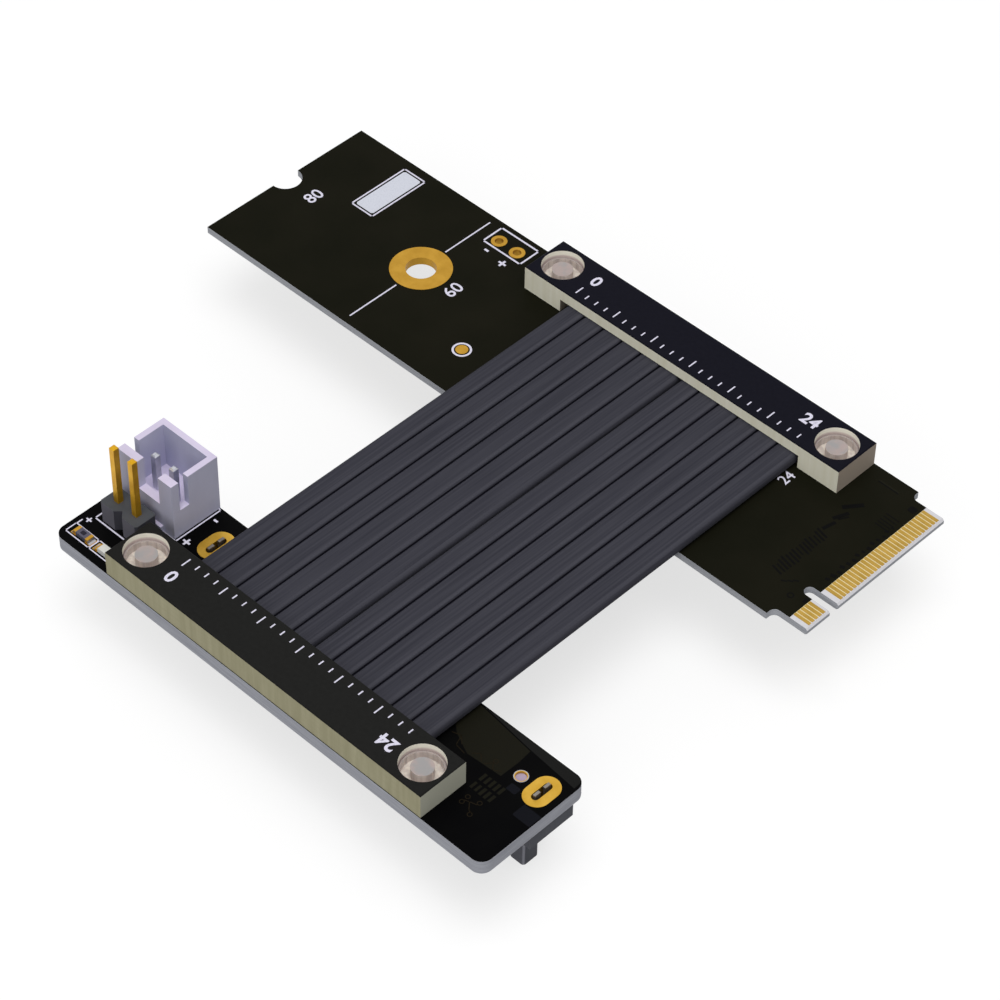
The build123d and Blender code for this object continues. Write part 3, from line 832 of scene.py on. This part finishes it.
@dataclass(frozen=True)
class Palette:
    """Every finish on the adapter, built once."""

    card: Material = built(BoardFinish("card mask", (20, 20, 12), (25, 24, 16), bare_from=57.85))
    drive: Material = built(BoardFinish(
        "drive board mask", (3, 3, 4), (7, 7, 7), edge=(192, 194, 202),
        edge_dark=(166, 168, 178), low=-0.8))
    gold: Material = built(MetalFinish("gold plating", (194, 149, 52), (179, 135, 40), 0.42))
    slot_gold: Material = built(MetalFinish("slot plating", (208, 166, 66), (195, 152, 50), 0.42))
    finger: Material = built(MetalFinish("finger plating", (188, 153, 72), (172, 138, 58), 0.42, ALONG_X))
    spring: Material = built(MetalFinish("spring plating", (212, 172, 80), (182, 144, 58), 0.36))
    core: Material = built(MetalFinish("tinned copper", (200, 164, 132), (164, 118, 84), 0.36, ALONG_Y))
    tin: Material = built(MetalFinish("bright tin", (206, 207, 216), (176, 178, 184), 0.38, ALONG_Z))
    lock_tin: Material = built(MetalFinish("lock tin", (144, 138, 131), (120, 114, 108), 0.4, ALONG_Z))
    pin_gold: Material = built(MetalFinish("pin plating", (226, 176, 40), (208, 156, 24), 0.4, ALONG_Z))
    solder: Material = built(MetalFinish("solder", (182, 182, 188), (146, 146, 152)))
    card_bar: Material = built(BarFinish(
        "card bar laminate", (15, 15, 24), (250, 247, 228), (240, 236, 212), (170, 158, 144),
        ((12.0, 8.13), (48.0, 8.13))))
    drive_bar: Material = built(BarFinish(
        "drive bar laminate", (27, 27, 26), (190, 185, 154), (174, 169, 138), (188, 188, 172),
        ((12.0, -47.58), (48.0, -47.58))))
    nylon: Material = built(NylonFinish("rivet nylon"))
    left_jacket: Material = built(JacketFinish("left jacket", 15.13))
    right_jacket: Material = built(JacketFinish("right jacket", 30.35))
    # Each moulded finish's third colour, and its end and edge colours where given, are painted light and
    # shade on its walls and ends and a painted highlight on its rounded edges.
    socket: Material = built(MouldedFinish(
        "socket moulding", (58, 59, 66), (66, 67, 74), (94, 95, 103), end=(74, 76, 84),
        edge=(158, 158, 168)))
    strip: Material = built(MouldedFinish(
        "strip moulding", (70, 73, 77), (76, 79, 84), (98, 97, 106), end=(64, 64, 72)))
    header: Material = built(MouldedFinish(
        "white nylon", (215, 206, 230), (222, 213, 237), (182, 183, 206), 0.45, 0.15, 3.0,
        (201, 201, 224)))
    peg: Material = built(MouldedFinish(
        "peg moulding", (170, 156, 182), (182, 168, 194), (160, 148, 170)))
    ceramic: Material = built(MouldedFinish(
        "chip glaze", (84, 82, 98), (92, 90, 106), (70, 70, 82), 0.4, 0.2, 6.0))
    lens: Material = built(MouldedFinish(
        "light moulding", (206, 208, 203), (226, 226, 220), (214, 214, 208), 0.3, 0.3, 2.0))
    ink: Material = built(InkFinish("white ink", (230, 227, 244), (196, 194, 210)))
    plate_ink: Material = built(InkFinish("panel ink", (217, 220, 231), (206, 209, 221)))
    trace: Material = built(InkFinish("covered copper", (25, 24, 14), (22, 21, 13)))
    olive: Material = built(InkFinish("olive copper field", (21, 20, 12), (18, 17, 11)))
    brown: Material = built(InkFinish("brown traces", (29, 23, 12), (24, 19, 10)))
    slate: Material = built(InkFinish("slate mask", (13, 14, 20), (11, 12, 17)))
    # Painted reflection band, lighter than the drive board's mask.
    reflection_band: Material = built(InkFinish("painted reflection band", (24, 24, 23), (21, 21, 20)))
    element: Material = built(InkFinish("resistor element", (46, 45, 56), (38, 38, 48)))
    pit: Material = built(InkFinish("covered via", (3, 3, 3), (6, 5, 5)))


class Assembly:
    """A group of CAD nodes that belong together.

    Attributes:
        wears: The palette's finish that each CAD node wears.
    """

    wears: ClassVar[dict[str, str]] = {}

    def wear(self, palette: Palette) -> None:
        """Gives the group's CAD nodes their finishes.

        Args:
            palette: Every finish, built.
        """
        for node, name in self.wears.items():
            mesh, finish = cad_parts[node].data, getattr(palette, name)
            mesh.materials.clear()
            mesh.materials.append(finish)
            log.info("%s wears %s", node, finish.name)


@dataclass
class EdgeCard(Assembly):
    """Edge card: board, plating, printed marks, covered copper and vias. Sizes in millimetres."""

    wears = {
        "card_board": "card", "card_fingers_top": "finger", "card_fingers_under": "finger",
        "card_screw_ring": "gold", "card_wire_pads": "gold", "card_test_pad": "gold",
        "card_solder_pads": "gold"}
    line_width: float = 0.16
    line_from: float = 3.6
    line_to: float = 9.95
    plate_low: Point = (-12.25, 2.1)
    plate_high: Point = (-9.25, 9.8)
    plate_line: float = 0.18
    plate_gap: float = 0.28
    box_low: Point = (1.45, 7.55)
    box_high: Point = (6.65, 10.3)
    box_line: float = 0.2
    test_pad: Point = (11.4, -5.65)
    marks: tuple[Mark, ...] = (
        ("80", (-15.75, 0.05), 2.1, 90, 0.02), ("60", (4.65, 0.0), 2.1, 90, 0.02),
        ("24", (45.9, 3.55), 1.7, 90, 0.01), ("-", (2.75, 6.55), 1.8, 180, 0.05),
        ("+", (5.3, 6.45), 1.8, 180, 0.05))
    copper: float = 0.008
    trace: Path = ((52.4, 9.62), (54.7, 9.58))
    long_seam: Path = ((52.4, 9.45), (54.76, 9.4))
    seam_width: float = 0.12
    seam_x: Point = (55.7, 57.2)
    seam_rows: tuple[float, ...] = (4.95, 5.35, 5.75, 6.2, 6.65)
    wide_seams: tuple[Span, ...] = (
        ((52.3, 4.5), (53.3, 5.8), 0.5), ((52.55, 2.75), (53.05, 3.95), 0.42),
        ((52.95, 2.9), (53.4, 3.7), 0.2), ((52.7, 1.05), (52.95, 2.15), 0.4))
    short_seams: Path = ((54.3, -6.9), (54.75, -6.5), (55.1, -6.1))
    seam_ring: Point = (56.1, -7.75)
    seam_panels: tuple[Span, ...] = (
        ((57.35, -7.65), (57.7, -6.95), 0.05), ((56.7, 8.35), (57.55, 9.15), 0.15))
    dashes: int = 15
    dash_low: Point = (53.1, -6.2)
    dash_pitch: float = 0.47
    edge_vias: int = 14
    edge_via_low: Point = (57.2, -3.8)
    edge_via_pitch: float = 0.72
    under_low: Point = (9.7, 5.2)
    under_high: Point = (50.3, 10.7)
    trace_rows: Triple = (5.0, 1.2, -1.0)
    trace_slant: float = 2.2
    under_via: Point = (2.24, -1.4)
    core_step: float = 0.16
    spots: Path = ((8.0, -6.0), (11.0, -6.0), (-8.0, 7.0))

    def print_marks(self, palette: Palette) -> None:
        """Prints the lines, boxes, rings and plain numbers on the parts side.

        Args:
            palette: Every finish, built.
        """
        art = Artwork(TOP)
        self.rule(art)
        art.frame(self.plate_low, self.plate_high, self.plate_line)
        art.frame(self.box_low, self.box_high, self.box_line)
        art.ring(self.test_pad, 0.8, 1.02)
        for mark in self.marks:
            art.words(*mark)
        art.finish("card_print", palette.ink)
        fill = Artwork(TOP)
        (x0, y0), (x1, y1), gap = self.plate_low, self.plate_high, self.plate_gap
        fill.panel((x0 + gap, y0 + gap), (x1 - gap, y1 - gap), 0.2)
        fill.finish("card_write_panel", palette.plate_ink)

    def rule(self, art: Artwork) -> None:
        """Adds the line across the card, which stops short of the screw hole's ring."""
        art.stroke((0, -self.line_to), (0, -self.line_from), self.line_width)
        art.stroke((0, self.line_from), (0, self.line_to), self.line_width)

    def lay_copper(self, palette: Palette) -> None:
        """Lays a covered trace, dark seams and rows of covered vias beside the gold edge.

        Args:
            palette: Every finish, built.
        """
        art = Artwork(TOP, self.copper)
        art.trail(self.trace, self.line_width)
        art.finish("card_traces", palette.trace)
        seam = Artwork(TOP, 0.01)
        seam.trail(self.long_seam, self.seam_width)
        x0, x1 = self.seam_x
        for y in self.seam_rows:
            seam.stroke((x0, y), (x1, y - 0.05), self.seam_width)
        for start, end, width in self.wide_seams:
            seam.stroke(start, end, width)
        seam.ring(self.seam_ring, 0.22, 0.36, 16)
        for low, high, corner in self.seam_panels:
            seam.panel(low, high, corner)
        for x, y in self.short_seams:
            seam.stroke((x, y), (x + 0.35, y + 0.2), 0.16)
        seam.finish("card_seams", palette.pit)
        level = TOP + VIA_FILM / 2
        x0, y0 = self.dash_low
        places = [(x0 + 0.1 * math.sin(i * 1.7), y0 + i * self.dash_pitch, level)
                  for i in range(self.dashes)]
        dashes = Repeater(Shape.BLOCK, (1.3, 0.19, VIA_FILM), turn=-13, jitter=0.25, seed=11)
        dashes.bake("card_dashes", places, palette.pit)
        x0, y0 = self.edge_via_low
        places = [(x0 + 0.12 * (i % 3), y0 + i * self.edge_via_pitch, level)
                  for i in range(self.edge_vias)]
        dots = Repeater(Shape.BLOCK, (0.42, 0.3, VIA_FILM), turn=20, jitter=0.35, seed=5)
        dots.bake("card_edge_vias", places, palette.pit)

    def finish_underside(self, palette: Palette) -> None:
        """Prints plain outlines and lays covered copper, vias and three pads on the plain side.

        Args:
            palette: Every finish, built.
        """
        art = Artwork(0.0, facing_up=False)
        self.rule(art)
        art.frame(self.under_low, self.under_high, self.line_width)
        art.finish("card_under_print", palette.ink)
        copper = Artwork(0.0, self.copper, facing_up=False)
        places = [(FIRST_CORE + i * CORE_PITCH, self.core_step * i) for i in range(CORES)]
        first, bend, last = self.trace_rows
        for x, step in places:
            copper.trail([(x, first), (x, bend - step), (x + self.trace_slant, last - step)],
                         self.line_width)
        copper.finish("card_under_traces", palette.trace)
        pads = Repeater(Shape.DISC, (1.3, 1.3, 0.04), 28)
        pads.bake("card_under_pads", [(x, y, -0.02) for x, y in self.spots], palette.gold)
        over, down = self.under_via
        vias = [(x + over, down - step, -VIA_FILM / 2) for x, step in places]
        dots = Repeater(Shape.DISC, (0.4, 0.4, VIA_FILM), 14, jitter=0.15, seed=6)
        dots.bake("card_under_vias", vias, palette.pit)


@dataclass
class DriveBoard(Assembly):
    """Drive board: mask, plated slots, printed outlines, covered copper. Sizes in millimetres."""

    wears = {
        "drive_board": "drive", "drive_solder_pads": "gold", "chip_pads": "gold", "socket_pads": "gold",
        "lock_pads": "slot_gold"}
    header_low: Point = (3.0, -43.14)
    header_high: Point = (10.9, -37.45)
    chips_low: Point = (2.55, -49.45)
    chips_high: Point = (9.1, -48.1)
    chips_gap: float = 0.12
    strip_line: Path = ((3.3, -44.3), (3.3, -46.42), (9.2, -46.42))
    marks: tuple[Mark, ...] = (
        ("+", (3.1, -47.1), 1.3, 0, 0.03), ("-", (8.9, -47.3), 1.3, 0, 0.03),
        ("1", (2.6, -47.8), 1.0, 0, 0.02), ("+", (11.7, -42.6), 1.7, 0, 0.04),
        ("-", (11.6, -38.6), 1.7, 0, 0.04))
    copper_field: Path = (
        (44.8, -37.4), (44.8, -40.3), (46.0, -41.3), (48.3, -42.35), (52.2, -42.1), (52.25, -39.9),
        (52.1, -38.25))
    # A band along the far edge painted lighter than the mask: a painted reflection.
    far_reflection: Path = (
        (45.4, -37.33), (52.1, -38.12), (57.75, -38.6), (57.7, -37.7), (57.3, -37.33))
    trails: tuple[Path, ...] = (
        ((45.6, -41.5), (46.5, -41.2), (46.9, -42.3), (48.1, -42.5)), ((46.5, -41.2), (47.2, -41.9)),
        ((48.6, -42.0), (49.2, -41.5), (49.8, -42.1)),
        ((50.2, -42.1), (50.7, -41.5), (51.2, -42.1), (51.9, -41.7)),
        ((51.8, -46.3), (52.3, -46.1), (53.0, -45.9)), ((52.3, -46.1), (52.9, -46.8), (53.2, -46.9)))
    rings: Path = (
        (51.8, -46.55), (53.05, -45.6), (53.3, -47.1), (51.8, -45.8), (50.75, -41.2))
    masked: tuple[tuple[Point, Point], ...] = (
        ((53.45, -42.8), (54.55, -41.95)), ((55.9, -44.5), (57.95, -42.95)))
    comb_x: float = 51.2
    comb_pitch: float = 0.56
    comb_teeth: int = 5
    comb_rows: tuple[float, ...] = (-43.3, -44.5)
    pads: int = 34
    pad_pitch: float = 0.95
    socket_x: float = 35.0
    socket_low: Point = (12.3, -44.75)
    socket_high: Point = (57.6, -37.55)
    trace_rows: Triple = (-44.3, -45.6, -46.4)
    trace_slant: float = -0.4
    under_via: Point = (-0.425, -46.6)
    pegs: Path = ((16.5, -40.87), (53.5, -40.87))
    peg_top: float = 0.55
    peg_barrel: Point = (0.55, 0.66)
    # The rims' ring is tinned metal whose pale tone also stands in for the highlight round each hole's
    # edge: partly real, partly a painted highlight.
    peg_highlight_rim: Point = (0.63, 0.7)

    def print_marks(self, palette: Palette) -> None:
        """Prints the outlines of the headers and chips, and plain polarity marks.

        Args:
            palette: Every finish, built.
        """
        art = Artwork(TOP)
        art.frame(self.header_low, self.header_high, 0.14)
        (x0, y0), (x1, y1) = self.chips_low, self.chips_high
        middle = (x0 + x1) / 2 - 0.1
        art.frame((x0, y0), (middle, y1), 0.12)
        art.frame((middle + self.chips_gap, y0), (x1, y1), 0.12)
        art.trail(self.strip_line, 0.16)
        for mark in self.marks:
            art.words(*mark)
        art.finish("drive_print", palette.ink)
        barrels = Artwork(self.peg_top + 0.02, TOP + 0.01 - self.peg_top)
        # Pale solder rims round the peg holes: a tinned ring, and a painted highlight at each hole's edge.
        rims = Artwork(TOP, 0.035)
        for peg in self.pegs:
            barrels.ring(peg, *self.peg_barrel)
            rims.ring(peg, *self.peg_highlight_rim)
        barrels.finish("peg_barrels", palette.slot_gold, "gold_plate")
        rims.finish("peg_highlight_rims", palette.solder, "lock_tin")

    def lay_copper(self, palette: Palette) -> None:
        """Lays the covered copper field, a painted reflection band along the far edge, its brown traces,
        the masked blocks and vias.

        Args:
            palette: Every finish, built.
        """
        plate = Artwork(TOP, 0.006)
        plate.plate(self.copper_field)
        plate.finish("drive_copper_field", palette.olive)
        # Painted reflection: a lighter band on the mask along the far edge.
        strip = Artwork(TOP, 0.005)
        strip.plate(self.far_reflection)
        strip.finish("drive_far_reflection", palette.reflection_band)
        art = Artwork(TOP, 0.012)
        for trail in self.trails:
            art.trail(trail, 0.08)
        for spot in self.rings:
            art.ring(spot, 0.18, 0.26, 16)
        art.finish("drive_traces", palette.brown)
        dark = Artwork(TOP, 0.01)
        for low, high in self.masked:
            dark.panel(low, high, 0.1)
        dark.finish("drive_masked_blocks", palette.slate)
        comb = [(self.comb_x + self.comb_pitch * i, y, TOP + 0.005)
                for y in self.comb_rows for i in range(self.comb_teeth)]
        teeth = Repeater(Shape.BLOCK, (0.3, 0.85, VIA_FILM), jitter=0.1, seed=3)
        teeth.bake("drive_comb", comb, palette.olive)

    def finish_underside(self, palette: Palette) -> None:
        """Lays traces from the socket's pads, vias and a plain outline round the socket.

        Args:
            palette: Every finish, built.
        """
        art = Artwork(UNDER, facing_up=False)
        art.frame(self.socket_low, self.socket_high, 0.14)
        art.finish("drive_under_print", palette.ink)
        copper = Artwork(UNDER, 0.008, facing_up=False)
        places = [(self.socket_x + (i - (self.pads - 1) / 2) * self.pad_pitch, 0.05 * (i % 7))
                  for i in range(self.pads)]
        first, bend, last = self.trace_rows
        for x, step in places:
            copper.trail([(x, first), (x, bend - step), (x + self.trace_slant, last - step)], 0.18)
        copper.finish("drive_under_traces", palette.brown)
        over, down = self.under_via
        vias = [(x + over, down - step, UNDER - VIA_FILM / 2) for x, step in places]
        dots = Repeater(Shape.DISC, (0.42, 0.42, VIA_FILM), 14, jitter=0.15, seed=8)
        dots.bake("drive_under_vias", vias, palette.pit)


@dataclass
class ClampBars(Assembly):
    """The two clamp bars, their rivets and the plain tick scale on each bar. Sizes in millimetres."""

    wears = {
        "card_bar": "card_bar", "drive_bar": "drive_bar", "card_rivets": "nylon", "drive_rivets": "nylon"}
    crown: float = 3.7
    tick_width: float = 0.14
    tick_to: float = 2.1
    film: float = 0.02
    ticks: tuple[tuple[str, float], ...] = (("long", 1.1), ("short", 0.6))
    numbers: tuple[tuple[str, float], ...] = (("0", 16.1), ("24", 44.2))
    number_size: float = 2.0
    number_back: float = 0.5
    bars: tuple[tuple[str, float, int], ...] = (("card_bar", 8.13, -1), ("drive_bar", -47.58, 1))

    def print_scales(self, palette: Palette) -> None:
        """Prints one tick for each core along a bar, every fourth one long, with plain numbers.

        Args:
            palette: Every finish, built.
        """
        for name, y, inward in self.bars:
            art = Artwork(self.crown, self.film)
            turn = 180 if inward > 0 else 0
            for text, x in self.numbers:
                art.words(text, (x, y - inward * self.number_back), self.number_size, turn, 0.05)
            art.finish(name + "_numbers", palette.ink, "bar_laminate")
            for kind, length in self.ticks:
                middle = y + inward * (self.tick_to - length / 2)
                places = [(FIRST_CORE + i * CORE_PITCH, middle, self.crown + self.film / 2)
                          for i in range(CORES) if (i % 4 == 0) == (kind == "long")]
                ticks = Repeater(Shape.BLOCK, (self.tick_width, length, self.film))
                ticks.bake(f"{name}_{kind}_ticks", places, palette.ink)


class Ribbons(Assembly):
    """The two ribbons, with their cores."""

    wears = {
        "ribbon_left": "left_jacket", "ribbon_right": "right_jacket", "ribbon_cores": "core"}


class DriveSocket(Assembly):
    """Socket under the drive board, with its contacts, locks and pegs."""

    wears = {
        "drive_socket": "socket", "contacts_near": "spring", "contacts_far": "spring",
        "socket_locks": "lock_tin", "socket_pegs": "peg"}


@dataclass
class Headers(Assembly):
    """Power header, light header and their soldered pins. Sizes in millimetres."""

    wears = {
        "power_header": "header", "power_header_pins": "tin", "light_header": "strip",
        "light_header_pins": "pin_gold"}
    land: float = 0.04
    land_width: float = 1.9
    cone: Triple = (1.6, 1.6, 0.6)
    pins: Path = ((5.68, -40.57), (8.22, -40.57), (5.13, -44.9), (7.67, -44.9))
    foot_centre: Triple = (8.5, -43.2, 1.15)
    foot_size: Triple = (1.2, 0.36, 0.7)

    def set_foot(self, palette: Palette) -> None:
        """Sets the small pale foot at the base of the power header's wall."""
        foot = Repeater(Shape.BLOCK, self.foot_size)
        foot.bake("header_foot", [self.foot_centre], palette.header)

    def solder(self, palette: Palette) -> None:
        """Solders the pins' tails: a gold land and a cone of solder under the board.

        Args:
            palette: Every finish, built.
        """
        lands = Repeater(Shape.DISC, (self.land_width, self.land_width, self.land), 28)
        lands.bake("header_lands", [(x, y, UNDER - self.land) for x, y in self.pins],
                   palette.gold)
        cones = Repeater(Shape.DISC, self.cone, 24, foot_share=0.5)
        cones.bake("header_solder", [(x, y, UNDER - 0.35) for x, y in self.pins],
                   palette.solder)


@dataclass
class Chips(Assembly):
    """Chip resistor and indicator light with their solder. Sizes in millimetres."""

    wears = {
        "resistor_body": "ceramic", "resistor_caps": "gold", "light_caps": "gold",
        "indicator_light": "lens"}
    row_y: float = -48.8
    top: float = 0.85
    centres: tuple[float, float] = (4.4, 7.45)
    half: float = 1.0
    width: float = 0.85
    reach: float = 0.28
    heights: tuple[float, float] = (0.34, 0.18)
    hollow: float = 0.35
    body: float = 0.45
    element_low: Point = (4.12, -49.02)
    element_high: Point = (4.68, -48.58)

    def mark(self, palette: Palette) -> None:
        """Lays the dark element on the resistor's top.

        Args:
            palette: Every finish, built.
        """
        art = Artwork(self.top + self.body, 0.01)
        art.panel(self.element_low, self.element_high, 0.06)
        art.finish("resistor_element", palette.element, "chip_body")

    def solder(self, palette: Palette) -> None:
        """Adds a wedge of solder at each end of both chips.

        Args:
            palette: Every finish, built.
        """
        work = Artwork(self.top)
        near, far = self.row_y - self.width / 2, self.row_y + self.width / 2
        for x, height in zip(self.centres, self.heights):
            for side in (-1, 1):
                foot, toe = x + side * self.half, x + side * (self.half + self.reach)
                dip = foot + side * self.reach * self.hollow, height * self.hollow
                section = [(foot, 0.0), (toe, 0.0), dip, (foot, height)]
                add_prism(work.mesh, *([(x_in, y_in, self.top + z_in) for x_in, z_in in section]
                                       for y_in in (near, far)))
        bmesh.ops.recalc_face_normals(work.mesh, faces=work.mesh.faces)
        work.finish("chip_solder", palette.solder, "gold_plate")


@dataclass
class Studio:
    """Floor, lights, white background and the camera. Lengths in metres."""

    floor_z: float = -0.00962
    eye: Triple = (0.18170, -0.17990, 0.22857)
    right: Triple = (0.71694, 0.69700, 0.01377)
    up: Triple = (-0.50512, 0.50576, 0.69933)
    lens: float = 121.23
    sensor: float = 36.0
    clip: Point = (0.01, 10.0)
    key_place: Triple = (0.17, -0.14, 1.0)
    fill_place: Triple = (0.27, -0.92, 0.52)
    aim: Triple = (0.02, -0.02, 0.0)
    lamp_size: float = 0.7
    key_power: float = 6.0
    fill_power: float = 2.2
    sky: float = 0.35
    floor_size: float = 3.0
    floor_tone: float = 0.35
    floor_glow: float = 0.7

    def place_camera(self) -> None:
        """Places the camera at the photograph's eye, with its slight roll."""
        data = bpy.data.cameras.new("camera")
        data.type, data.lens, data.sensor_width = "PERSP", self.lens, self.sensor
        data.clip_start, data.clip_end = self.clip
        camera = bpy.data.objects.new("camera", data)
        x, y = Vector(self.right).normalized(), Vector(self.up).normalized()
        z = x.cross(y).normalized()
        y = z.cross(x)
        turn = Matrix((x, y, z)).transposed().to_4x4()
        camera.matrix_world = Matrix.Translation(self.eye) @ turn
        bpy.context.scene.collection.objects.link(camera)
        bpy.context.scene.camera = camera

    def lay_floor(self) -> None:
        """Lays the pale floor, white to the camera and in reflections, with the shadow kept."""
        graph, tone = Graph("floor"), self.floor_tone
        matt = graph.node("BsdfDiffuse", {"Color": (tone, tone, tone, 1)}).outputs[0]
        strength = graph.times(graph.seen(), self.floor_glow)
        glow = graph.node("Emission", {"Color": WHITE, "Strength": strength}).outputs[0]
        graph.close(graph.node("AddShader", {0: matt, 1: glow}).outputs[0])
        shape = bmesh.new()
        bmesh.ops.create_grid(shape, x_segments=1, y_segments=1, size=self.floor_size)
        mesh = bpy.data.meshes.new("floor")
        shape.to_mesh(mesh)
        shape.free()
        mesh.transform(Matrix.Translation((0, 0, self.floor_z)))
        make_piece("floor", mesh, graph.owner)

    def light(self, name: str, place: Triple, power: float) -> None:
        """Hangs one soft square lamp that looks at the middle of the part.

        Args:
            name: The lamp's name.
            place: Where it hangs.
            power: Its power in watts.
        """
        data = bpy.data.lights.new(name, "AREA")
        data.shape, data.size, data.energy = "SQUARE", self.lamp_size, power
        lamp = bpy.data.objects.new(name, data)
        lamp.location = place
        aim = Vector(self.aim) - Vector(place)
        lamp.rotation_euler = aim.to_track_quat("-Z", "Y").to_euler()
        bpy.context.scene.collection.objects.link(lamp)

    def hang_lights(self) -> None:
        """Hangs the lamps and sets the sky, which is white only to the camera and reflections."""
        self.light("key", self.key_place, self.key_power)
        self.light("fill", self.fill_place, self.fill_power)
        sky = Graph("sky", world=True)
        low = sky.node("Background", {"Color": WHITE, "Strength": self.sky}).outputs[0]
        high = sky.node("Background", {"Color": WHITE, "Strength": 1.0}).outputs[0]
        sky.close(sky.node("MixShader", {0: sky.seen(), 1: low, 2: high}).outputs[0])
        bpy.context.scene.world = sky.owner
        bpy.context.scene.view_settings.view_transform = "Standard"


def main() -> None:
    """Builds the studio, dresses each sub-assembly and then lays on its details, in order."""
    studio = Studio()
    studio.place_camera()
    studio.lay_floor()
    studio.hang_lights()
    palette = Palette()
    card, board, bars, headers, chips = EdgeCard(), DriveBoard(), ClampBars(), Headers(), Chips()
    for group in (card, board, bars, Ribbons(), DriveSocket(), headers, chips):
        group.wear(palette)
    for step in (card.print_marks, card.lay_copper, card.finish_underside, board.print_marks,
                 board.lay_copper, board.finish_underside, bars.print_scales, headers.set_foot,
                 headers.solder, chips.mark, chips.solder):
        step(palette)
    log.info("size written")


if __name__ == "__main__":
    main()
